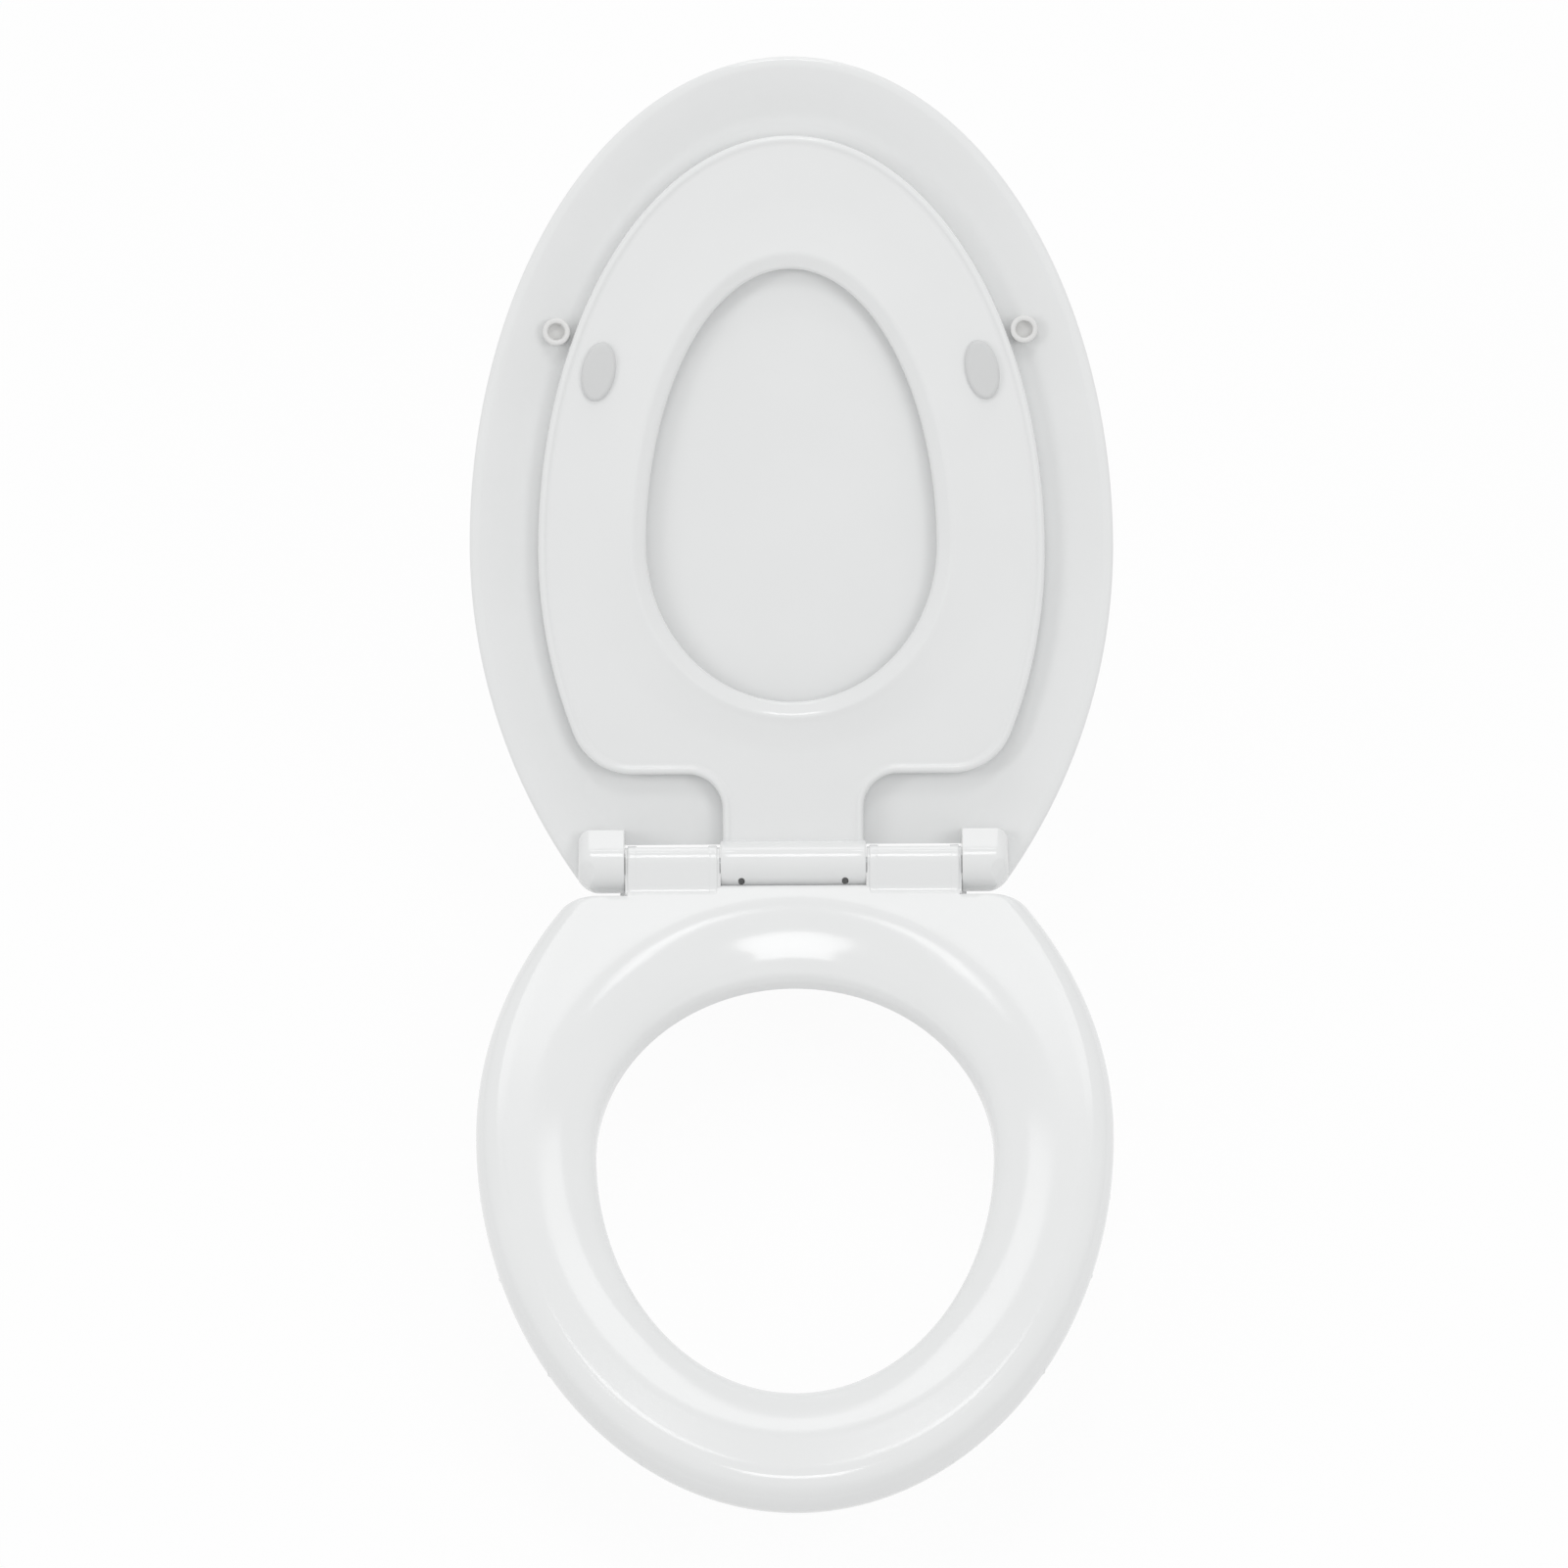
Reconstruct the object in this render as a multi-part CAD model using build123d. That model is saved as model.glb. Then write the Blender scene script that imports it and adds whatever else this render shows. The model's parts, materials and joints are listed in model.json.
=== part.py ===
from build123d import *
import os
from math import asin, cos, radians, sin, sqrt, tan

# A family toilet seat: lid, child seat ring and adult seat ring on one hinge line.
# The front faces -Y, +Z is up, and the origin lies on the bowl, midway between the fixing studs.
# Every piece is drawn about the hinge axis with the lid closed, in a frame where "ahead" is the
# distance in front of the axis and "up" the height above it. The lid and the child seat are then
# swung open together.

# Frame
AXIS_HEIGHT = 28.0  # hinge axis above the bowl
OPEN_ANGLE = 140.0  # lid's swing from closed to its stop

# Clearances
RUNNING_GAP = 0.3  # radial, between a pin and the bore that turns on it
SIDE_GAP = 1.8  # along the hinge, between neighbouring knuckles
REST_GAP = 0.4  # between a buffer and the curved surface that it lands on

# Hinge line
STUD_SPACING = 155.0
KNUCKLE_INNER = 34.3  # from the post's centre to the knuckle's inner end
KNUCKLE_OUTER = 16.5  # from the post's centre to the knuckle's outer end
KNUCKLE_RADIUS = 13.5
KNUCKLE_WALL = 2.5
CHEEK = 5.0  # knuckle's end walls
KNUCKLE_RAMP = 36.0  # slope of the knuckle's front, below level
KNUCKLE_BLEND = 5.0
BARREL_RADIUS = 12.5  # child seat's hinge barrel
EAR_RADIUS = 15.6  # lid's hinge ears
PIN_RADIUS = 4.5
PIN_ENTRY = 20.0  # pin's length inside the barrel
PIN_HOLD = 11.0  # pin's length inside the damper
SHAFT_RADIUS = 5.0
SHAFT_FLAT = 3.4  # from the axis to the shaft's driving flat
SHAFT_ENTRY = 13.0  # shaft's length inside the lid's ear
SHAFT_HOLD = 25.0  # shaft's length inside the damper
DRAIN_RADIUS = 2.4  # holes in the child seat's barrel
DRAIN_INSET = 12.0
DRAIN_ANGLE = 130.0  # from straight up, turning forwards and under
DRAIN_DEPTH = 6.0
BARREL_CHAMFER = 1.5

# Fixed posts
HEAD_GAP = 0.6  # between the post's head and the knuckle around it
DAMPER_RADIUS = 8.0
STEM_WIDTH = 18.0
STEM_DEPTH = 12.0
FOOT_RADIUS = 20.0
FOOT_THICKNESS = 5.0
FOOT_CHAMFER = 1.5
GASKET_THICKNESS = 2.0
GASKET_LIP = 1.0
STUD_RADIUS = 4.0
STUD_LENGTH = 62.0  # below the bowl's top
STUD_HEAD_RADIUS = 4.6  # the head is moulded into the post
STUD_HEAD_LENGTH = 14.0
STUD_POINT = 1.2

# Adult seat
SEAT_WIDTH = 358.0
SEAT_REACH = 456.0  # from the axis to the front edge
SEAT_WIDEST = 187.0  # from the axis to the widest line
SEAT_SIDE_RADIUS = 300.0
SEAT_REAR = 22.0
SEAT_CORNER = 14.0
SEAT_TOP = 2.0  # above the axis
SEAT_THICKNESS = 22.0
SEAT_WALL = 3.6
OPENING_WIDTH = 223.0
OPENING_REAR = 75.0
OPENING_FRONT = 377.0
OPENING_WIDEST = 201.0
DECK_GAP = 4.5  # between the barrel and the seat's deck
DECK_EDGE = 2.0
RIB_COUNT = 9
RIB_THICKNESS = 2.4
RIB_DROP = 5.0  # ribs end this far above the seat's lower edge

# Child seat
RING_WIDTH = 288.0
RING_REACH = 415.0
RING_WIDEST = 179.0
RING_SIDE_RADIUS = 286.0
RING_REAR = 52.0
RING_CORNER = 27.0
RING_LIFT = 2.6  # underside above the axis when it is down
HOLE_WIDTH = 165.0
HOLE_REAR = 93.0
HOLE_FRONT = 339.0
HOLE_WIDEST = 182.0
NECK_WIDTH = 80.0
NECK_BLEND = 20.0
RING_EDGE = 3.6  # rounding of its outer edges
HOLE_EDGE = 9.0  # width of the bevel round its opening, on the underside
RING_BULGE = 5.0  # how far the underside sinks towards the opening
BULGE_SPREAD = 40.0  # width of that slope in front and at the sides
BULGE_REAR = 30.0  # width of that slope behind the opening

# Lid
LID_WIDTH = 366.0
LID_REACH = 460.0
LID_WIDEST = 182.0
LID_SIDE_RADIUS = 328.0
LID_CORNER = 14.0
LID_LIP = 3.2  # lip's height above the axis when it is closed
LID_WALL = 3.4
LID_CLEARANCE = 2.5  # between the child seat and the lid's panel
LID_PANEL_REAR = 12.0  # panel's rear edge ahead of the axis
EAR_DEPTH = 20.0  # ears end this far ahead of the axis
EAR_LEAN = 0.6  # how far the ears' backs lean forward, for each step inwards of the lid's roll

# Buffers
LID_BUMPER_RADIUS = 7.8
LID_BUMPER_BORE = 3.6
LID_BUMPER_BORE_DEPTH = 5.0
LID_BUMPER_CHAMFER = 0.8
LID_BUMPER_GAP = 3.1  # between the buffer and the child seat's edge
LID_BUMPER_AHEAD = 304.0
RING_BUMPER_LENGTH = 32.0
RING_BUMPER_WIDTH = 16.5
RING_BUMPER_HEIGHT = 3.0
RING_BUMPER_TURN = 11.0
RING_BUMPER_INSET = 22.9  # from the child seat's edge to the buffer's middle
RING_BUMPER_AHEAD = 279.0
PEG_RADIUS = 3.0
PEG_LENGTH = 5.0
SEAT_BUMPER_LENGTH = 44.0
SEAT_BUMPER_WIDTH = 16.0
SEAT_BUMPER_CORNER = 6.0
BUMPER_EDGE = 1.6
BOSS_MARGIN = 2.0
FRONT_BUMPER_ANGLE = 54.5  # round the front half of the seat, from its widest line
FRONT_BUMPER_TURN = 36.0
REAR_BUMPER_AHEAD = 122.0
REAR_BUMPER_TURN = 112.0

# Magnets
MAGNET_RADIUS = 6.0
MAGNET_THICKNESS = 3.0
MAGNET_GAP = 0.8  # between the two magnets
MAGNET_RIM = 2.4

# Places along the hinge, for the side at +X
post_x = STUD_SPACING / 2
knuckle_in = post_x - KNUCKLE_INNER
knuckle_out = post_x + KNUCKLE_OUTER
barrel_half = knuckle_in - SIDE_GAP
ear_in = knuckle_out + SIDE_GAP
head_in = knuckle_in + CHEEK + HEAD_GAP
head_out = knuckle_out - CHEEK - HEAD_GAP
head_radius = KNUCKLE_RADIUS - KNUCKLE_WALL - HEAD_GAP

# Heights about the axis
seat_bottom = SEAT_TOP - SEAT_THICKNESS
bowl = -AXIS_HEIGHT
ring_top = BARREL_RADIUS
panel_inside = ring_top + LID_CLEARANCE
panel_outside = panel_inside + LID_WALL
lid_depth = panel_inside - LID_LIP
deck_rear = BARREL_RADIUS + DECK_GAP
hole_low = RING_LIFT - RING_BULGE
magnet_ahead = (HOLE_FRONT + RING_REACH) / 2


def plan(ahead, across=0.0, up=0.0):
    """A place ahead of the axis, across from the middle and above the axis."""
    return Pos(across, -ahead, up)


def rod(start, end, radius):
    """A round bar on the hinge axis between two places across."""
    return Plane.YZ.offset(start) * extrude(Circle(radius), end - start)


def bar(profile, start, end):
    """A side-view profile, drawn in (back, up), carried across from start to end."""
    return Plane.YZ.offset(start) * extrude(profile, end - start)


def mirrored(shape):
    return mirror(shape, Plane.YZ)


def egg(width, rear, front, widest):
    """An egg outline: two half ellipses that meet at the widest line."""
    centre = (0, -widest)
    back_half = EllipticalCenterArc(centre, width / 2, widest - rear, 0, arc_size=180)
    front_half = EllipticalCenterArc(centre, width / 2, front - widest, 180, arc_size=180)
    return make_face([back_half, front_half])


def shield(width, reach, widest, side_radius, rear, corner):
    """A seat outline: half an ellipse in front, two side arcs behind it, a straight rear edge."""
    half = width / 2
    middle = half - side_radius
    sweep = asin((widest - rear) / side_radius)
    corner_x = middle + side_radius * cos(sweep)
    flank_x = middle + side_radius * cos(sweep / 2)
    flank_y = side_radius * sin(sweep / 2) - widest
    nose = EllipticalCenterArc((0, -widest), half, reach - widest, 180, arc_size=180)
    right = ThreePointArc((half, -widest), (flank_x, flank_y), (corner_x, -rear))
    left = ThreePointArc((-half, -widest), (-flank_x, flank_y), (-corner_x, -rear))
    back = Line((corner_x, -rear), (-corner_x, -rear))
    face = make_face([nose, right, back, left])
    corners = face.vertices().sort_by(Axis.Y)[-2:]
    return fillet(corners, corner)


def shield_half(width, reach, widest, side_radius, ahead):
    """Half the width of a shield outline at a place ahead of the axis."""
    if ahead > widest:
        return width / 2 * sqrt(1 - ((ahead - widest) / (reach - widest)) ** 2)
    return width / 2 - side_radius + sqrt(side_radius**2 - (widest - ahead) ** 2)


def egg_half(width, rear, front, widest, ahead):
    """Half the width of an egg outline at a place ahead of the axis."""
    length = front - widest if ahead > widest else widest - rear
    return width / 2 * sqrt(1 - ((ahead - widest) / length) ** 2)


def ring_half(ahead):
    return shield_half(RING_WIDTH, RING_REACH, RING_WIDEST, RING_SIDE_RADIUS, ahead)


def seat_outline(inset, rear=SEAT_REAR):
    return shield(
        SEAT_WIDTH - 2 * inset,
        SEAT_REACH - inset,
        SEAT_WIDEST,
        SEAT_SIDE_RADIUS - inset,
        rear,
        SEAT_CORNER,
    )


def lid_outline(inset, rear):
    return shield(
        LID_WIDTH - 2 * inset,
        LID_REACH - inset,
        LID_WIDEST,
        LID_SIDE_RADIUS - inset,
        rear,
        LID_CORNER,
    )


def opening_outline(spread, rear_spread):
    return egg(
        OPENING_WIDTH + 2 * spread,
        OPENING_REAR - rear_spread,
        OPENING_FRONT + spread,
        OPENING_WIDEST,
    )


def hole_outline(spread, rear_spread):
    return egg(
        HOLE_WIDTH + 2 * spread,
        HOLE_REAR - rear_spread,
        HOLE_FRONT + spread,
        HOLE_WIDEST,
    )


def stack(sections):
    """A smooth loft through outlines, each given with its height."""
    return loft([Pos(0, 0, up) * face for face, up in sections])


def seat_mass(wall=0.0):
    """The seat's outer form: bellied sides that roll over into the top."""
    top = SEAT_TOP - wall
    low = seat_bottom - (1.0 if wall else 0.0)
    rear = SEAT_REAR + wall
    belly = [(2.6, 0.0), (0.4, 0.2), (0.0, 0.4), (1.2, 0.66), (4.6, 0.87), (10.0, 0.97), (16.0, 1.0)]
    return stack([(seat_outline(inset + wall, rear), low + (top - low) * share) for inset, share in belly])


def seat_scoop(wall=0.0):
    """The dish round the opening, ending in the opening's own wall."""
    dish = [
        (0.0, 0.0, -1.05),
        (0.0, 0.0, -0.62),
        (1.0, 1.2, -0.47),
        (3.6, 4.6, -0.335),
        (8.5, 11.5, -0.235),
        (16.0, 22.0, -0.14),
        (25.0, 34.0, -0.065),
        (34.0, 46.0, -0.018),
        (44.0, 58.0, 0.012),
    ]
    return stack(
        [
            (opening_outline(side + wall, rear + wall), SEAT_TOP - wall + SEAT_THICKNESS * share)
            for side, rear, share in dish
        ]
    )


def knuckle():
    """A hinge knuckle at +X: two cheeks, and a wall round the front of the post that clears its stem."""
    tongue_top = SEAT_TOP - REST_GAP
    tongue_end = -(SEAT_REAR + SEAT_WALL)
    ramp = radians(KNUCKLE_RAMP)
    ramp_top = (-KNUCKLE_RADIUS * sin(ramp), KNUCKLE_RADIUS * cos(ramp))
    ramp_foot = (ramp_top[0] - (ramp_top[1] - tongue_top) / tan(ramp), tongue_top)
    tongue = make_face(
        Polyline(
            ramp_top,
            ramp_foot,
            (tongue_end, tongue_top),
            (tongue_end, -KNUCKLE_RADIUS),
            (0, -KNUCKLE_RADIUS),
            (0, 0),
            close=True,
        )
    )
    tongue = fillet(tongue.vertices().sort_by_distance(ramp_foot)[0], KNUCKLE_BLEND)
    side = Circle(KNUCKLE_RADIUS) + tongue
    body = bar(side, knuckle_in, knuckle_out)
    # The room that the post's stem needs while the seat turns round it, from below to the top rear
    pocket_radius = KNUCKLE_RADIUS - KNUCKLE_WALL
    half_stem = STEM_DEPTH / 2 + HEAD_GAP
    far = 3 * KNUCKLE_RADIUS
    lean = OPEN_ANGLE - 90
    raised = Rot(0, 0, lean) * Pos(far / 2, 0) * Rectangle(far, 2 * half_stem)
    lowered = Pos(far / 2 - half_stem, -far / 2) * Rectangle(far, far)
    behind = Pos(far / 2, 0) * Rectangle(far, 2 * pocket_radius)
    room = Circle(pocket_radius) + lowered + behind + raised
    return body - bar(room, knuckle_in + CHEEK, knuckle_out - CHEEK)


def seat_bumper_places():
    """Where the four seat buffers sit: name, place and turn."""
    angle = radians(FRONT_BUMPER_ANGLE)
    front_middle = (SEAT_WIDEST + OPENING_WIDEST) / 2
    front_length = (SEAT_REACH - SEAT_WIDEST + OPENING_FRONT - OPENING_WIDEST) / 2
    front_ahead = front_middle + front_length * sin(angle)
    front_across = (SEAT_WIDTH + OPENING_WIDTH) / 4 * cos(angle)
    outer = shield_half(SEAT_WIDTH, SEAT_REACH, SEAT_WIDEST, SEAT_SIDE_RADIUS, REAR_BUMPER_AHEAD)
    inner = egg_half(OPENING_WIDTH, OPENING_REAR, OPENING_FRONT, OPENING_WIDEST, REAR_BUMPER_AHEAD)
    rear_across = (outer + inner) / 2
    front = plan(front_ahead, front_across) * Rot(0, 0, FRONT_BUMPER_TURN)
    rear = plan(REAR_BUMPER_AHEAD, rear_across) * Rot(0, 0, REAR_BUMPER_TURN)
    front_left = plan(front_ahead, -front_across) * Rot(0, 0, -FRONT_BUMPER_TURN)
    rear_left = plan(REAR_BUMPER_AHEAD, -rear_across) * Rot(0, 0, -REAR_BUMPER_TURN)
    return {"front_right": front, "rear_right": rear, "front_left": front_left, "rear_left": rear_left}


def peg(base):
    """The peg that holds a buffer, standing on a level."""
    return Pos(0, 0, base) * extrude(Circle(PEG_RADIUS), PEG_LENGTH)


def make_seat_bumper():
    """A rubber pad that lands on the bowl, with a peg that plugs into the seat."""
    pad = RectangleRounded(SEAT_BUMPER_LENGTH, SEAT_BUMPER_WIDTH, SEAT_BUMPER_CORNER)
    block = Pos(0, 0, bowl) * extrude(pad, seat_bottom - bowl)
    block = fillet(block.faces().sort_by(Axis.Z)[0].edges(), BUMPER_EDGE)
    return block + peg(seat_bottom)


def seat_ribs():
    """Stiffening plates under the seat, fanned round the middle of the opening."""
    height = SEAT_THICKNESS
    plate = Pos(0, 0, seat_bottom + RIB_DROP + height / 2) * Box(2 * SEAT_REACH, RIB_THICKNESS, height)
    turns = [180 * (index + 0.5) / RIB_COUNT for index in range(RIB_COUNT)]
    return [plan(OPENING_WIDEST) * Rot(0, 0, turn) * plate for turn in turns]


def make_seat():
    """The adult seat: an open-backed moulding with ribs, buffer bosses, a rear deck and two knuckles."""
    scoop = seat_scoop()
    deck_height = SEAT_TOP + KNUCKLE_RADIUS
    deck_depth = SEAT_REAR + SEAT_CORNER - deck_rear
    deck = Box(2 * knuckle_out, deck_depth, deck_height)
    deck = fillet(deck.edges().filter_by(Axis.X).sort_by(Axis.Z)[-2:].sort_by(Axis.Y)[-1], DECK_EDGE)
    deck = plan(deck_rear + deck_depth / 2, 0, SEAT_TOP - deck_height / 2) * deck
    boss = RectangleRounded(
        SEAT_BUMPER_LENGTH + 2 * BOSS_MARGIN,
        SEAT_BUMPER_WIDTH + 2 * BOSS_MARGIN,
        SEAT_BUMPER_CORNER + BOSS_MARGIN,
    )
    boss = Pos(0, 0, seat_bottom) * extrude(boss, SEAT_THICKNESS)
    places = seat_bumper_places().values()
    hollow = seat_mass(SEAT_WALL) - seat_scoop(SEAT_WALL)
    hollow -= seat_ribs() + [place * boss for place in places]
    seat = seat_mass() + deck - scoop - hollow
    right = knuckle()
    seat += [right, mirrored(right)]
    bores = [rod(knuckle_in, head_in, PIN_RADIUS + RUNNING_GAP)]
    bores += [mirrored(bores[0]), mirrored(rod(head_out, knuckle_out, SHAFT_RADIUS + RUNNING_GAP))]
    pegs = [place * peg(seat_bottom) for place in places]
    return seat - bores - pegs - shaft(knuckle_out - CHEEK)


def shaft(flat_from):
    """A damper's shaft at +X, with a driving flat from a place across to its outer end."""
    end = ear_in + SHAFT_ENTRY
    bar_round = rod(head_out - SHAFT_HOLD, end, SHAFT_RADIUS)
    above = Pos(0, SHAFT_FLAT + SHAFT_RADIUS / 2) * Rectangle(2 * SHAFT_RADIUS, SHAFT_RADIUS)
    return bar_round - bar(above, flat_from, end)


def make_pin():
    return rod(barrel_half - PIN_ENTRY, head_in + PIN_HOLD, PIN_RADIUS)


def make_damper():
    """A soft-close cartridge: the shaft turns in its outer end, the child seat's pin sits in its inner end."""
    cartridge = rod(head_in, head_out, DAMPER_RADIUS)
    room = rod(head_out - SHAFT_HOLD - RUNNING_GAP, head_out, SHAFT_RADIUS + RUNNING_GAP)
    return cartridge - room - make_pin()


def make_stud():
    """A fixing stud: a head held in the post's stem, and a shank, plain here, that goes through the bowl."""
    shank = Pos(post_x, 0, bowl - STUD_LENGTH) * extrude(Circle(STUD_RADIUS), STUD_LENGTH)
    shank = chamfer(shank.edges().sort_by(Axis.Z)[0], STUD_POINT)
    return shank + Pos(post_x, 0, bowl) * extrude(Circle(STUD_HEAD_RADIUS), STUD_HEAD_LENGTH)


def make_gasket():
    disc = extrude(Circle(FOOT_RADIUS + GASKET_LIP), GASKET_THICKNESS)
    return Pos(post_x, 0, bowl) * disc - make_stud()


def make_post():
    """A fixed post: a foot, a stem, and a hollow head that holds the damper."""
    foot = extrude(Circle(FOOT_RADIUS), FOOT_THICKNESS)
    foot = chamfer(foot.edges().sort_by(Axis.Z)[-1], FOOT_CHAMFER)
    foot_base = bowl + GASKET_THICKNESS
    stem = Pos(post_x, 0, foot_base / 2) * Box(STEM_WIDTH, STEM_DEPTH, -foot_base)
    head = rod(head_in, head_out, head_radius)
    post = head + stem + Pos(post_x, 0, foot_base) * foot
    return post - rod(head_in, head_out, DAMPER_RADIUS) - make_stud()


def ring_outline():
    """The child seat's plan: a shield with a neck that runs back to the hinge."""
    body = shield(RING_WIDTH, RING_REACH, RING_WIDEST, RING_SIDE_RADIUS, RING_REAR, RING_CORNER)
    neck_length = RING_REAR + RING_CORNER
    face = body + plan(neck_length / 2) * Rectangle(NECK_WIDTH, neck_length)
    on_rear = face.vertices().filter_by(lambda v: abs(v.Y + RING_REAR) < 0.01)
    inner = on_rear.filter_by(lambda v: abs(abs(v.X) - NECK_WIDTH / 2) < 0.01)
    return fillet(inner, NECK_BLEND)


def ring_scoop():
    """The child seat's opening: a bevel at the underside, a waist, and a wide dish in the upper side."""
    height = ring_top - hole_low
    bevel = [(1.6, -0.06), (1.05, 0.1), (0.66, 0.22), (0.33, 0.32), (0.1, 0.41)]
    dish = [(0.0, 0.54), (0.5, 0.73), (2.4, 0.83), (7.0, 0.9), (15.0, 0.96), (24.0, 1.02)]
    waist = [(HOLE_EDGE * share, up) for share, up in bevel] + dish
    return stack([(hole_outline(spread, spread), hole_low + height * up) for spread, up in waist])


def ring_bulge():
    """The slope round the opening's underside, which steepens towards the opening."""
    shares = [1.15, 0.95, 0.72, 0.5, 0.25, 0.08, 0.0]
    drops = [-0.07, 0.01, 0.08, 0.25, 0.56, 0.84, 1.0]
    return stack(
        [
            (hole_outline(BULGE_SPREAD * share, BULGE_REAR * share), RING_LIFT - RING_BULGE * drop)
            for share, drop in zip(shares, drops)
        ]
    )


def make_ring():
    """The child seat: a rounded plate with a dished opening, a neck and a hinge barrel."""
    plate = Pos(0, 0, RING_LIFT) * extrude(ring_outline(), ring_top - RING_LIFT)
    flats = plate.faces().filter_by(Plane.XY)
    plate = fillet(flats.edges(), RING_EDGE)
    barrel = rod(-barrel_half, barrel_half, BARREL_RADIUS)
    barrel = chamfer(barrel.edges(), BARREL_CHAMFER)
    ring = plate + ring_bulge() - ring_scoop() + barrel
    bore = rod(barrel_half - PIN_ENTRY - RUNNING_GAP, barrel_half, PIN_RADIUS + RUNNING_GAP)
    drill = Pos(0, 0, BARREL_RADIUS - DRAIN_DEPTH) * extrude(Circle(DRAIN_RADIUS), 2 * DRAIN_DEPTH)
    drain = Pos(barrel_half - DRAIN_INSET, 0, 0) * Rot(DRAIN_ANGLE, 0, 0) * drill
    bumpers = [place * make_ring_bumper() for place in ring_bumper_places().values()]
    magnet = make_magnet(ring_top - MAGNET_THICKNESS)
    return ring - [bore, drain, mirrored(bore), mirrored(drain), magnet] - bumpers


def ring_bumper_places():
    across = ring_half(RING_BUMPER_AHEAD) - RING_BUMPER_INSET
    right = plan(RING_BUMPER_AHEAD, across) * Rot(0, 0, RING_BUMPER_TURN)
    left = plan(RING_BUMPER_AHEAD, -across) * Rot(0, 0, -RING_BUMPER_TURN)
    return {"right": right, "left": left}


def make_ring_bumper():
    """An oval rubber pad under the child seat, with a peg."""
    oval = Ellipse(RING_BUMPER_WIDTH / 2, RING_BUMPER_LENGTH / 2)
    pad = Pos(0, 0, RING_LIFT - RING_BUMPER_HEIGHT) * extrude(oval, RING_BUMPER_HEIGHT)
    pad = fillet(pad.edges().sort_by(Axis.Z)[0], BUMPER_EDGE)
    return pad + peg(RING_LIFT)


def make_magnet(base):
    return plan(magnet_ahead, 0, base) * extrude(Circle(MAGNET_RADIUS), MAGNET_THICKNESS)


def lid_mass():
    """The lid's outer form: a lip that rolls over into a flat top."""
    height = panel_outside - LID_LIP
    belly = [(1.2, 0.0), (0.0, 0.13), (1.6, 0.42), (7.0, 0.73), (16.0, 0.93), (30.0, 1.0)]
    return stack(
        [
            (lid_outline(inset, EAR_LEAN * inset - EAR_RADIUS), LID_LIP + height * share)
            for inset, share in belly
        ]
    )


def lid_cavity():
    """The lid's dished inside, from the lip to the flat panel."""
    dish = [(0.0, -0.08), (1.0, 0.14), (4.2, 0.46), (10.6, 0.76), (19.6, 0.94), (32.0, 1.0)]
    return stack([(lid_outline(LID_WALL + inset, EAR_DEPTH), LID_LIP + lid_depth * share) for inset, share in dish])


def make_lid():
    """The lid: a shallow dish, open at the hinge, with two ears."""
    span = 2 * ear_in
    tall = 4 * EAR_RADIUS
    behind_panel = plan(LID_PANEL_REAR - tall / 2) * Box(span, tall, tall)
    open_depth = EAR_DEPTH + LID_CORNER + tall / 2
    under_panel = plan(open_depth / 2 - tall / 2, 0, panel_inside - tall / 2) * Box(span, open_depth + tall / 2, tall)
    ear = rod(ear_in, LID_WIDTH / 2, EAR_RADIUS)
    footprint = Pos(0, 0, -EAR_RADIUS) * extrude(lid_outline(0.0, -EAR_RADIUS), EAR_RADIUS + panel_inside)
    ear = ear & footprint
    magnet_seat = plan(magnet_ahead, 0, ring_top + MAGNET_GAP) * extrude(
        Circle(MAGNET_RADIUS + MAGNET_RIM), panel_inside - ring_top - MAGNET_GAP + REST_GAP
    )
    lid = lid_mass() - lid_cavity() - behind_panel - under_panel
    lid += [ear, mirrored(ear), magnet_seat]
    turning = rod(ear_in, ear_in + SHAFT_ENTRY + RUNNING_GAP, SHAFT_RADIUS + RUNNING_GAP)
    return lid - turning - mirrored(shaft(ear_in)) - make_magnet(ring_top + MAGNET_GAP)


def make_lid_bumper():
    """A round hollow buffer that stands on the lid's slope and lands on the adult seat."""
    low = SEAT_TOP + REST_GAP
    post = extrude(Circle(LID_BUMPER_RADIUS), panel_outside - low)
    post = chamfer(post.edges().sort_by(Axis.Z)[0], LID_BUMPER_CHAMFER)
    bore = extrude(Circle(LID_BUMPER_BORE), LID_BUMPER_BORE_DEPTH)
    across = ring_half(LID_BUMPER_AHEAD) + LID_BUMPER_GAP + LID_BUMPER_RADIUS
    return plan(LID_BUMPER_AHEAD, across, low) * (post - bore) & lid_cavity()


def make_nodes():
    """Every piece by name: fixed and seat pieces as they stand, lid and child seat pieces swung open."""
    standing = Pos(0, 0, AXIS_HEIGHT)
    opened = standing * Rot(-OPEN_ANGLE, 0, 0)
    nodes = {"adult_seat": standing * make_seat()}
    for name, place in seat_bumper_places().items():
        nodes[name + "_seat_bumper"] = standing * place * make_seat_bumper()
    nodes["seat_damper_shaft"] = standing * shaft(knuckle_out - CHEEK)
    nodes["lid_damper_shaft"] = opened * mirrored(shaft(ear_in))
    fixed = {
        "hinge_post": make_post(),
        "damper": make_damper(),
        "hinge_pin": make_pin(),
        "fixing_stud": make_stud(),
        "gasket": make_gasket(),
    }
    for name, piece in fixed.items():
        nodes["right_" + name] = standing * piece
        nodes["left_" + name] = standing * mirrored(piece)
    nodes["child_seat"] = opened * make_ring()
    for name, place in ring_bumper_places().items():
        nodes[name + "_child_bumper"] = opened * place * make_ring_bumper()
    nodes["child_seat_magnet"] = opened * make_magnet(ring_top - MAGNET_THICKNESS)
    nodes["lid"] = opened * make_lid()
    bumper = make_lid_bumper()
    nodes["right_lid_bumper"] = opened * bumper
    nodes["left_lid_bumper"] = opened * mirrored(bumper)
    nodes["lid_magnet"] = opened * make_magnet(ring_top + MAGNET_GAP)
    return nodes


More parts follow.
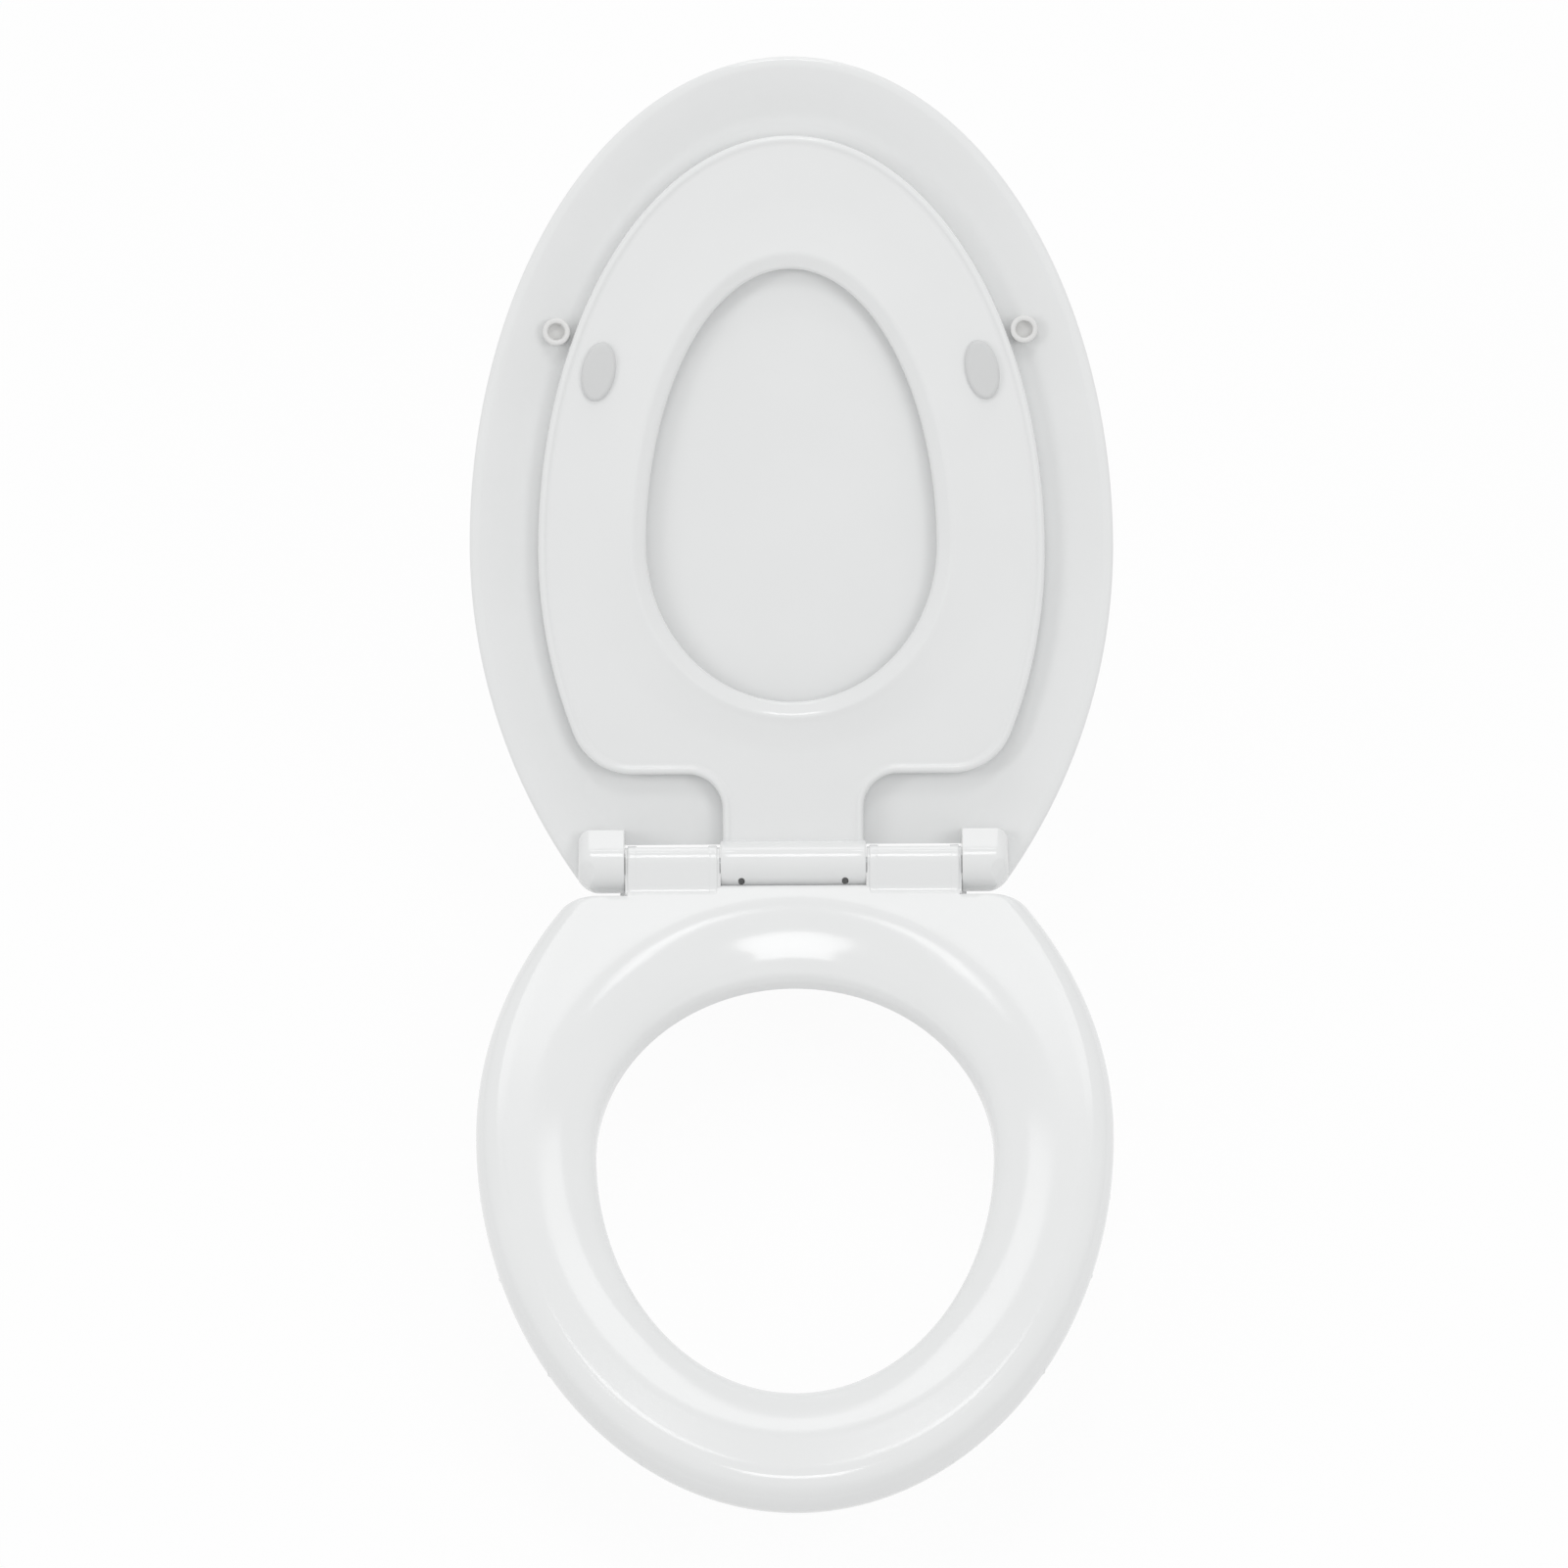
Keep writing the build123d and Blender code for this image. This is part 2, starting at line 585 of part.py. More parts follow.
os.makedirs("parts", exist_ok=True)
for name, piece in make_nodes().items():
    export_step(piece, f"parts/{name}.step")
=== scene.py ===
import json
import math

import bmesh
import bpy
import numpy as np
from mathutils import Matrix, Vector


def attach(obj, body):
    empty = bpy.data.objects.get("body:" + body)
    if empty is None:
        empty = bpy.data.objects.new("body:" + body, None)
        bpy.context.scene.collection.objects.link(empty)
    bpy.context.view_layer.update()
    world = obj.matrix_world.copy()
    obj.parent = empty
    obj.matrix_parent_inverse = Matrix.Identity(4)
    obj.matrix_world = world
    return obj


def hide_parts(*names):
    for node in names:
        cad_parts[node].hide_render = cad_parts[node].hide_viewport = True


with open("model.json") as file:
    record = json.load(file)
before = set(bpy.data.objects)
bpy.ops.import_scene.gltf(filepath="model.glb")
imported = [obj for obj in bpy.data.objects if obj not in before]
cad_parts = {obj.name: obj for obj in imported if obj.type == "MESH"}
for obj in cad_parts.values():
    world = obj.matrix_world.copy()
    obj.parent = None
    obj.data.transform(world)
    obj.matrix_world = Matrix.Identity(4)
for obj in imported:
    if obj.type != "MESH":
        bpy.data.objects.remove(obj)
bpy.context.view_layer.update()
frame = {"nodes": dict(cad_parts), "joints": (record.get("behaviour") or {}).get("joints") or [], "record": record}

# A family toilet seat: lid, child seat ring and adult seat ring on one hinge line.
# Shapes are worked out in millimetres about the hinge axis with everything closed:
# "across" is to the right, "ahead" is in front of the axis and "up" is above it.
MM = 0.001
hinges = {joint["name"]: joint for joint in frame["joints"]}
AXIS_UP = hinges["lid_hinge"]["pos_m"][2] / MM
OPEN_ANGLE = -math.radians(hinges["lid_hinge"]["range_deg"][0])

# Hinge line
KNUCKLE_IN, KNUCKLE_OUT = 43.2, 94.0
KNUCKLE_RADIUS, KNUCKLE_WALL, KNUCKLE_CHEEK = 13.5, 2.5, 5.0
KNUCKLE_RAMP = math.radians(36)  # slope of the knuckle's front
KNUCKLE_BLEND = 9.0
SIDE_GAP = 1.8
# Degrees from straight up, where the knuckle's wall ends behind its top, outside and inside
KNUCKLE_END, KNUCKLE_INNER_END = -11.0, -5.0
BARREL_RADIUS, BARREL_ROUND = 14.0, 1.2
BARREL_HALF = KNUCKLE_IN - SIDE_GAP
# Blind holes in the barrel
BORE_RADIUS, BORE_ACROSS, BORE_BEHIND, BORE_END, BORE_STEP = 1.8, 29.4, 9.2, -1.0, 0.2
BORE_FROM, BORE_TO = 208.0, 264.0  # degrees round the barrel within which the holes lie
EAR_IN = KNUCKLE_OUT + SIDE_GAP
EAR_OUT, EAR_SOFT, EAR_ROUND = 122.0, 0.7, 7.0  # ear's outer end, and the rounding of both ends
EAR_RADIUS, EAR_DEPTH, EAR_EDGE, EAR_LEAN = 15.6, 20.6, 1.6, 0.69
EAR_RAMP = math.radians(40)  # slope of the ear's underside in front of the axis
EAR_START = 344.0  # degrees from straight up, where its round side starts inside the lid
EAR_MIDDLE = np.array([3.0, 0.0])  # (ahead, up), where its outer end is drawn in to
STEM_HALF = 6.6  # room for the post's stem, from the axis
CHEEK_RADIUS, CHEEK_FALL = 11.3, 14.0  # cheeks behind the wall's end, and degrees until they are so low
SPACER_INSET, SPACER_DEPTH, SPACER_ROOT = 1.0, 1.4, 1.0  # raised faces on the knuckles' ends
CHEEK_SOFT, SPACER_SOFT = 0.7, 0.3  # rounding of their edges

# Adult seat
SEAT_WIDTH, SEAT_REACH, SEAT_WIDEST, SEAT_SIDE = 358.0, 456.0, 187.0, 300.0
SEAT_REAR, SEAT_CORNER, SEAT_TOP, SEAT_THICKNESS, SEAT_WALL = 22.0, 14.0, 2.0, 22.0, 3.6
SEAT_OPENING_WIDEST = 201.0
SEAT_OPENING = (223.0, 75.0, 377.0, SEAT_OPENING_WIDEST)  # width, rear, front, widest place
DECK_REAR = 15.2
RIB_COUNT, RIB_THICKNESS, RIB_LOW, RIB_STEP = 18, 2.4, -15.0, 0.1
BOSS_MARGIN, BOSS_TOP = 2.0, -0.8

# Child seat
RING_WIDTH, RING_REACH, RING_WIDEST, RING_SIDE = 288.0, 415.0, 179.0, 286.0
RING_REAR, RING_CORNER, RING_EDGE, RING_LOW, RING_TOP = 52.0, 36.0, 3.0, 3.3, 14.3
RING_OPENING_WIDEST = 182.0
RING_OPENING = (165.0, 93.0, 339.0, RING_OPENING_WIDEST)  # width, rear, front, widest place
NECK_WIDTH, NECK_BLEND = 80.0, 20.0

# Lid
LID_WIDTH, LID_REACH, LID_WIDEST, LID_SIDE, LID_CORNER = 366.0, 460.0, 182.0, 328.0, 14.0
LID_LIP, LID_INSIDE, LID_OUTSIDE, LID_PANEL_REAR = 3.2, 15.0, 18.4, 12.0
# How far the inside's rear edge, corners and middle part move on the way from the lip to the panel
LID_REAR_MOVE, LID_CORNER_MOVE, LID_PANEL_MOVE = 16.0, 10.0, 8.0
LID_SPINE_REAR, LID_SPINE_FRONT = 120.0, 300.0

# Buffers, magnets and studs
LID_BUMPER_ACROSS, LID_BUMPER_AHEAD, LID_BUMPER_LOW, LID_BUMPER_HIGH = 133.0, 304.0, 2.4, 14.6
LID_BUMPER_RADIUS, LID_BUMPER_BORE, LID_BUMPER_DEPTH = 7.8, 4.8, 6.0
LID_BUMPER_SLOPE = (0.261, 0.147)  # fall of its root, across and ahead
RING_PAD_LENGTH, RING_PAD_WIDTH, RING_PAD_EDGE, RING_PAD_LOW = 34.0, 19.0, 2.4, -0.4
RING_PAD_ACROSS, RING_PAD_AHEAD, RING_PAD_LEAN = 109.0, 281.0, 11.0
SEAT_PAD_LENGTH, SEAT_PAD_WIDTH, SEAT_PAD_CORNER = 44.0, 16.0, 6.0
SEAT_PADS = [(84.3, 375.0, -36.0), (129.4, 122.0, -112.0)]  # across, ahead, turn
MAGNET_AHEAD, MAGNET_RADIUS, MAGNET_DEPTH, MAGNET_BEVEL = 377.0, 6.0, 2.0, 0.3
LID_MAGNET_PROUD, RING_MAGNET_PROUD = 0.2, 0.12
STUD_ACROSS, STUD_RADIUS, STUD_LENGTH, STUD_BEVEL = 77.5, 4.0, 62.0, 1.2
STUD_HEAD_RADIUS, STUD_HEAD_TOP = 4.6, 14.0
THREAD_PITCH, THREAD_DEPTH, THREAD_TOP = 1.25, 0.65, -6.0

# Places along an outline's right half, and half the width of the step in its rear edge
STEP_POINTS, LEDGE_POINTS, CORNER_POINTS, NEAR_POINTS, FAR_POINTS, NOSE_POINTS = 16, 8, 12, 14, 15, 64
SHARED_SWEEP = math.radians(15)  # from here to the widest place, all rows have their places side by side
LEDGE = 0.25

# Meshes
WELD, SLIVER = 0.002 * MM, 0.001 * MM
CREASE = math.radians(32)  # edges sharper than this stay sharp


def stand(across, ahead, up, swing=0.0):
    """Places about the hinge axis, swung open by an angle, as points of the row frame in metres:
    what lies ahead goes up and back as the sine and cosine of the angle."""
    across, ahead, up = np.broadcast_arrays(across, ahead, up)
    back = up * math.sin(swing) - ahead * math.cos(swing)
    height = up * math.cos(swing) + ahead * math.sin(swing) + AXIS_UP
    return np.stack([across, back, height], -1) * MM


def through(knots, count):
    """A smooth curve through knots: on each span a cubic whose end slopes come from the
    neighbouring knots, read at even steps along the knots' lengths."""
    knots = np.asarray(knots, float)
    span = np.linalg.norm(np.diff(knots, axis=0), axis=1)
    at = np.concatenate([[0.0], np.cumsum(span)])
    slope = np.gradient(knots, at, axis=0)
    t = np.linspace(0.0, at[-1], count)
    i = np.clip(np.searchsorted(at, t, side="right") - 1, 0, len(span) - 1)
    h = span[i, None]
    u = (t - at[i])[:, None] / h
    start = (1 + 2 * u) * (1 - u) ** 2 * knots[i] + u * (1 - u) ** 2 * h * slope[i]
    end = u * u * (3 - 2 * u) * knots[i + 1] - u * u * (1 - u) * h * slope[i + 1]
    return (start + end).T


def whole(across, ahead):
    """A closed outline from its right half, which runs from the rear middle to the front middle."""
    back = slice(-2, 0, -1)
    return (
        np.concatenate([across, -across[..., back]], -1),
        np.concatenate([ahead, ahead[..., back]], -1),
    )


def columns(*values):
    """Row values as columns of one height, ready to be spread along an outline."""
    return [value[:, None] for value in np.broadcast_arrays(*[np.atleast_1d(v) for v in values])]


def flanks(width, reach, widest, side, rear, corner):
    """The right half of seat outlines from the rear corner on: an arc round the corner, a long side
    arc that is tangent to it, and a quarter of an ellipse to the front middle. Where the arcs meet
    is given with them."""
    half = width / 2
    middle = half - side
    turn = np.arcsin((widest - rear - corner) / (side - corner))
    corner_x = middle + (side - corner) * np.cos(turn)
    bend = np.pi / 2 + (turn - np.pi / 2) * np.linspace(0, 1, CORNER_POINTS)[1:]
    near, far = np.linspace(0, 1, NEAR_POINTS)[1:], np.linspace(0, 1, FAR_POINTS)[1:]
    sweep = np.concatenate([turn + (SHARED_SWEEP - turn) * near, SHARED_SWEEP * (1 - far) + 0 * turn], 1)
    nose = np.linspace(0, np.pi / 2, NOSE_POINTS)[1:]
    across = [corner_x + corner * np.cos(bend), middle + side * np.cos(sweep), half * np.cos(nose)]
    ahead = [
        rear + corner - corner * np.sin(bend),
        widest - side * np.sin(sweep),
        widest + (reach - widest) * np.sin(nose),
    ]
    return corner_x, np.concatenate(across, 1), np.concatenate(ahead, 1)


def shield(width, reach, widest, side, rear, corner, step, inner_rear):
    """Seat outlines, one for each row: flanks and a straight rear edge, which lies at inner_rear
    as far across as step, and at rear beyond it. Flanks that start nearer to the middle than the step
    are moved out to it."""
    width, reach, side, rear, corner, inner_rear = columns(width, reach, side, rear, corner, inner_rear)
    corner_x, across, ahead = flanks(width, reach, widest, side, rear, corner)
    outer_step = step + LEDGE
    middle_part = np.linspace(0, step - LEDGE, STEP_POINTS) + 0 * rear
    outer_part = outer_step + (corner_x - outer_step) * np.linspace(0, 1, LEDGE_POINTS)
    across = np.concatenate([outer_part, across], 1)
    ahead = np.concatenate([rear + 0 * outer_part, ahead], 1)
    across = np.where(ahead < widest, np.maximum(across, outer_step), across)
    return whole(
        np.concatenate([middle_part, across], 1),
        np.concatenate([inner_rear + 0 * middle_part, ahead], 1),
    )


def on_step(total):
    """Which of all the places of a shield outline lie on the middle part of its rear edge."""
    right = np.arange(total // 2 + 1) < STEP_POINTS
    return np.concatenate([right, right[-2:0:-1]])


def egg(opening, rows, bearing):
    """Egg outlines round an opening of (width, rear, front, widest), one for each row of (spread,
    spread at the rear, up): two half ellipses, read at bearings round the middle of the widest line."""
    width, rear, front, widest = opening
    spread, rear_spread, up = columns(*rows)
    length = np.where(np.sin(bearing) > 0, front + spread - widest, widest - rear + rear_spread)
    radius = 1 / np.hypot(np.cos(bearing) / (width / 2 + spread), np.sin(bearing) / length)
    return np.stack([radius * np.cos(bearing), widest + radius * np.sin(bearing), up + 0 * radius], -1)


def weave(grid, close_rows):
    """Points and faces of a grid whose rows are closed outlines; close_rows joins the last row to
    the first, so that the grid is a ring."""
    rows, places = grid.shape[:2]
    index = np.arange(rows * places).reshape(rows, places)
    low = index if close_rows else index[:-1]
    high = np.roll(index, -1, 0) if close_rows else index[1:]
    quads = np.stack([low, np.roll(low, -1, 1), np.roll(high, -1, 1), high], -1)
    return grid.reshape(-1, 3), quads.reshape(-1, 4).tolist()


def closed_bar(loops):
    """Points and faces of a bar: closed loops one after another, with a flat face on each end."""
    points, faces = weave(loops, False)
    count = loops.shape[1]
    last = len(points) - count
    return points, faces + [list(range(count))[::-1], list(range(last, last + count))]


def shrunk(loop, inset):
    """A plane loop, drawn inwards by an inset along its own normals."""
    along = np.roll(loop, -1, 0) - np.roll(loop, 1, 0)
    along /= np.linalg.norm(along, axis=1, keepdims=True)
    area = np.sum(loop[:, 0] * np.roll(loop[:, 1], -1) - np.roll(loop[:, 0], -1) * loop[:, 1])
    inward = np.stack([-along[:, 1], along[:, 0]], 1) * np.sign(area)
    return loop + inward * inset


def rounded_run(start, end, radius, steps=6):
    """Places along a bar and the inset at each, so that both its ends are rounded by a quarter circle."""
    turn = np.linspace(0, np.pi / 2, steps)
    place = np.concatenate([start + radius * (1 - np.cos(turn)), end - radius * (1 - np.cos(turn[::-1]))])
    inset = np.concatenate([radius * (1 - np.sin(turn)), radius * (1 - np.sin(turn[::-1]))])
    return place, inset


def bar_across(profile, start, end, radius, swing=0.0):
    """A profile of (ahead, up) carried across from start to end, with rounded ends."""
    place, inset = rounded_run(start, end, radius)
    loops = np.stack([shrunk(profile, i) for i in inset])
    return closed_bar(stand(place[:, None], loops[..., 0], loops[..., 1], swing))


def mirrored(part):
    """The same part on the other side of the middle, with its faces turned round."""
    points, faces = part
    return points * [-1, 1, 1], [face[::-1] for face in faces]


def make_piece(name, parts, body, nodes, slot):
    """One object from parts that overlap or meet, smooth except along creases, in its slot's finish."""
    points = np.concatenate([part[0] for part in parts])
    first = np.cumsum([0] + [len(part[0]) for part in parts[:-1]])
    faces = [[i + start for i in face] for part, start in zip(parts, first) for face in part[1]]
    mesh = bpy.data.meshes.new(name)
    mesh.from_pydata(points.tolist(), [], faces)
    work = bmesh.new()
    work.from_mesh(mesh)
    bmesh.ops.remove_doubles(work, verts=work.verts, dist=WELD)
    bmesh.ops.dissolve_degenerate(work, edges=work.edges, dist=SLIVER)
    bmesh.ops.recalc_face_normals(work, faces=work.faces)
    work.to_mesh(mesh)
    work.free()
    mesh.shade_smooth()
    mesh.set_sharp_from_angle(angle=CREASE)
    mesh.materials.append(FINISHES[slot])
    piece = bpy.data.objects.new(name, mesh)
    bpy.context.scene.collection.objects.link(piece)
    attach(piece, body)
    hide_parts(*nodes)


def make_pair(right, kind, ending, body, slot):
    """A part on the right and its mirror image on the left, each as a piece of its own."""
    for side, part in (("right", right), ("left", mirrored(right))):
        node = f"{side}_{kind}"
        make_piece(node + ending, [part], body, [node], slot)


# Materials

DRIFT_MM = 60.0
POLISH_SPREAD = 0.03


def linear(colour):
    """An sRGB hex colour as linear red, green, blue and alpha."""
    channels = [int(colour[i : i + 2], 16) / 255 for i in (1, 3, 5)]
    return [c / 12.92 if c <= 0.04045 else ((c + 0.055) / 1.055) ** 2.4 for c in channels] + [1.0]


def add_node(tree, kind, settings=None, sockets=None, links=None):
    """A node with its settings, its constant sockets and its links from other nodes' sockets."""
    node = tree.nodes.new(kind)
    for key, value in (settings or {}).items():
        setattr(node, key, value)
    for key, value in (sockets or {}).items():
        node.inputs[key].default_value = value
    for key, source in (links or {}).items():
        tree.links.new(source, node.inputs[key])
    return node


def new_material(name):
    """An empty material and its node tree."""
    material = bpy.data.materials.new(name)
    material.use_nodes = True
    material.node_tree.nodes.clear()
    return material, material.node_tree


def moulded(name, colour, shade, rough, grain_mm, grain_height_mm, ior=1.5, metallic=0.0):
    """A moulded or plated surface: colour that drifts a little towards a shade over some centimetres,
    roughness that varies by a few hundredths, and a fine grain of a real size and height."""
    material, tree = new_material(name)
    place = add_node(tree, "ShaderNodeTexCoord").outputs["Object"]
    drift = add_node(
        tree,
        "ShaderNodeTexNoise",
        sockets={"Scale": 1 / (DRIFT_MM * MM), "Detail": 2.0},
        links={"Vector": place},
    )
    tint = add_node(tree, "ShaderNodeMix", {"data_type": "RGBA"}, links={"Factor": drift.outputs["Fac"]})
    tint.inputs[6].default_value = linear(colour)
    tint.inputs[7].default_value = linear(shade)
    polish = add_node(
        tree,
        "ShaderNodeMapRange",
        sockets={"To Min": rough - POLISH_SPREAD, "To Max": rough + POLISH_SPREAD},
        links={"Value": drift.outputs["Fac"]},
    )
    grain = add_node(
        tree,
        "ShaderNodeTexNoise",
        sockets={"Scale": 1 / (grain_mm * MM), "Detail": 1.0},
        links={"Vector": place},
    )
    bump = add_node(
        tree,
        "ShaderNodeBump",
        sockets={"Strength": 1.0, "Distance": grain_height_mm * MM},
        links={"Height": grain.outputs["Fac"]},
    )
    shader = add_node(
        tree,
        "ShaderNodeBsdfPrincipled",
        sockets={"IOR": ior, "Metallic": metallic},
        links={
            "Base Color": tint.outputs[2],
            "Roughness": polish.outputs["Result"],
            "Normal": bump.outputs["Normal"],
        },
    )
    add_node(tree, "ShaderNodeOutputMaterial", links={"Surface": shader.outputs["BSDF"]})
    return material


# Urea-formaldehyde, hot pressed in a polished mould: a hard neutral white that mirrors lamps softly,
# with the slightest waviness
SEAT_WHITE = moulded("gloss_white_pressed_plastic", "#F1F2F2", "#EDEEEE", 0.1, 6.0, 0.003)
# Silicone rubber, moulded: a pale grey that spreads highlights
GREY_RUBBER = moulded("grey_moulded_silicone", "#DCDDDD", "#D6D7D7", 0.45, 0.8, 0.006, 1.43)
# White thermoplastic rubber, moulded: soft white with a dull shine
WHITE_RUBBER = moulded("white_moulded_rubber", "#EBEBEA", "#E5E5E4", 0.5, 0.8, 0.006, 1.48)
# Acetal, moulded: satin white of the hinge posts
HINGE_WHITE = moulded("satin_white_acetal", "#E6E7E7", "#E0E1E1", 0.34, 1.0, 0.004, 1.48)
# Glass-filled nylon, moulded: dark grey of the damper cartridges
DAMPER_GREY = moulded("dark_filled_nylon", "#3A3B3D", "#323335", 0.4, 0.6, 0.01, 1.53)
# Zinc-plated steel, rolled and turned: bright grey metal with a fine grain
PLATED_STEEL = moulded("zinc_plated_steel", "#B9BBBE", "#A9ACB0", 0.3, 0.5, 0.006, 1.45, 1.0)

# Which finish each slot has
FINISHES = {
    "white_seat_plastic": SEAT_WHITE,
    "white_rubber": WHITE_RUBBER,
    "grey_rubber": GREY_RUBBER,
    "hinge_plastic": HINGE_WHITE,
    "damper_plastic": DAMPER_GREY,
    "steel": PLATED_STEEL,
}


# Adult seat


def seat_outline(inset, rear, inner_rear):
    """The adult seat's shields, drawn inwards by each row's inset; the knuckles' ends are the step."""
    return shield(
        SEAT_WIDTH - 2 * inset,
        SEAT_REACH - inset,
        SEAT_WIDEST,
        SEAT_SIDE - inset,
        rear,
        SEAT_CORNER,
        KNUCKLE_OUT,
        inner_rear,
    )


def seat_section():
    """The seat as a ring of outlines: up the bellied outer wall, over the top, down the dish into the
    opening, and back through the hollow under the skin. Outer rows are shields drawn inwards, inner
    rows are eggs spread outwards, and rows between them run straight from one to the other."""
    belly = [
        (2.6, 0.0, -20.0),
        (0.4, 0.0, -15.6),
        (0.0, 0.0, -11.2),
        (1.2, 0.0, -5.5),
        (4.6, 0.5, -0.9),
        (10.0, 1.3, 1.35),
        (16.0, 2.4, 2.0),
    ]
    inset, rear_in, up = through(belly, 40)
    across, ahead = seat_outline(inset, SEAT_REAR + rear_in, DECK_REAR + rear_in)
    on_deck = on_step(across.shape[1])
    deck_share = (SEAT_TOP + KNUCKLE_RADIUS) / SEAT_THICKNESS
    up = up[:, None] + 0 * across
    up = np.where(on_deck, SEAT_TOP - (SEAT_TOP - up) * deck_share, up)
    outer = np.stack([across, ahead, up], -1)
    bearing = np.arctan2(ahead[-1] - SEAT_OPENING_WIDEST, across[-1])
    dish = [
        (38.0, 50.0, 2.0),
        (34.0, 45.0, 1.82),
        (24.2, 34.0, 0.5),
        (14.0, 24.0, -1.6),
        (5.6, 14.0, -4.4),
        (1.6, 6.0, -7.4),
        (0.5, 1.4, -9.9),
        (0.0, 0.0, -12.6),
        (0.0, 0.0, -20.0),
    ]
    inner = egg(SEAT_OPENING, through(dish, 48), bearing)
    hollow = [
        (3.6, 3.6, -20.0),
        (3.6, 3.6, -16.4),
        (4.5, 5.0, -13.6),
        (6.0, 9.8, -10.9),
        (10.0, 17.4, -7.9),
        (18.0, 27.2, -5.1),
        (28.0, 36.0, -3.0),
        (36.0, 42.0, -1.8),
    ]
    under_inner = egg(SEAT_OPENING, through(hollow, 30), bearing)
    wall = [
        (19.6, -1.6),
        (13.6, -2.3),
        (8.2, -4.5),
        (4.8, -9.1),
        (3.6, -14.8),
        (4.0, -17.2),
        (6.2, -20.0),
    ]
    inset, up = through(wall, 24)
    rear = SEAT_REAR + SEAT_WALL
    across, ahead = seat_outline(inset, rear, rear)
    under_outer = np.stack([across, ahead, up[:, None] + 0 * across], -1)
    return (
        np.concatenate([outer, blend_rows(outer, inner, 6), inner]),
        np.concatenate([under_inner, blend_rows(under_inner, under_outer, 4), under_outer]),
    )


def blend_rows(first, second, count):
    """Rows that lead straight from the last row of one surface to the first row of the next."""
    share = np.linspace(0, 1, count + 2)[1:-1, None, None]
    return first[-1] + (second[0] - first[-1]) * share


def knuckle_profile():
    """The knuckle's outer side from the deck: a ramp with a hollow foot, tangent to the round top."""
    top = np.array([KNUCKLE_RADIUS * math.sin(KNUCKLE_RAMP), KNUCKLE_RADIUS * math.cos(KNUCKLE_RAMP)])
    drop = (top[1] - SEAT_TOP) / math.tan(KNUCKLE_RAMP)
    foot = np.array([top[0] + drop, SEAT_TOP])
    reach = KNUCKLE_BLEND * math.tan(KNUCKLE_RAMP / 2)
    centre = foot + [reach, KNUCKLE_BLEND]
    turn = np.linspace(-np.pi / 2, -np.pi / 2 - KNUCKLE_RAMP, 8)
    fillet = centre + KNUCKLE_BLEND * np.stack([np.cos(turn), np.sin(turn)], 1)
    return fillet, np.linspace(fillet[-1], top, 6)[1:-1]


def arc(radius, start, end, count):
    """Places (ahead, up) on a circle about the axis; angles run from straight up towards the front."""
    turn = np.radians(np.linspace(start, end, count))
    return radius * np.stack([np.sin(turn), np.cos(turn)], 1)


def seat_knuckles():
    """Two knuckles: a wall that wraps the post from the deck to just behind the top, and a cheek at
    each end, whose radius falls to a smaller one behind the wall's end. A thin face, a little smaller
    than the cheek, stands out from each end. The wall leaves room below and behind for the post's
    stem."""
    fillet, ramp = knuckle_profile()
    ramp_degrees = math.degrees(KNUCKLE_RAMP)
    pocket = KNUCKLE_RADIUS - KNUCKLE_WALL
    sunk, overlap = SEAT_TOP - 0.3, 0.4
    rear_wall = SEAT_REAR + 1.0
    buried = np.array([[rear_wall, sunk], [rear_wall, -KNUCKLE_RADIUS]])
    front_of_stem = np.array([[STEM_HALF, -KNUCKLE_RADIUS]])
    start = math.degrees(math.acos(-math.sqrt(pocket**2 - STEM_HALF**2) / pocket))
    wall = np.concatenate(
        [
            buried,
            front_of_stem,
            arc(pocket, start, KNUCKLE_INNER_END, 40),
            arc(KNUCKLE_RADIUS, KNUCKLE_END, ramp_degrees, 24),
            ramp[::-1],
            fillet[::-1],
        ]
    )
    turn = np.linspace(180, 360 + ramp_degrees, 72)
    top = 360 + KNUCKLE_END
    radius = np.interp(turn, [top - CHEEK_FALL, top], [CHEEK_RADIUS, KNUCKLE_RADIUS])
    behind = radius[:, None] * np.stack([np.sin(np.radians(turn)), np.cos(np.radians(turn))], 1)
    cheek = np.concatenate([buried, behind, ramp[::-1], fillet[::-1]])
    spacer = shrunk(cheek, SPACER_INSET)
    inner_cheek = KNUCKLE_IN + KNUCKLE_CHEEK
    outer_cheek = KNUCKLE_OUT - KNUCKLE_CHEEK
    parts = []
    for profile, first, last, radius in (
        (wall, inner_cheek - overlap, outer_cheek + overlap, 0.0),
        (cheek, KNUCKLE_IN, inner_cheek, CHEEK_SOFT),
        (cheek, outer_cheek, KNUCKLE_OUT, CHEEK_SOFT),
        (spacer, KNUCKLE_IN - SPACER_DEPTH, KNUCKLE_IN + SPACER_ROOT, SPACER_SOFT),
        (spacer, KNUCKLE_OUT - SPACER_ROOT, KNUCKLE_OUT + SPACER_DEPTH, SPACER_SOFT),
    ):
        right = bar_across(profile, first, last, radius) if radius else straight_bar(profile, first, last)
        parts += [right, mirrored(right)]
    return parts


def straight_bar(profile, start, end):
    """A profile of (ahead, up) carried straight across from start to end."""
    place = np.array([start, end])[:, None]
    return closed_bar(stand(place, profile[None, :, 0], profile[None, :, 1]))


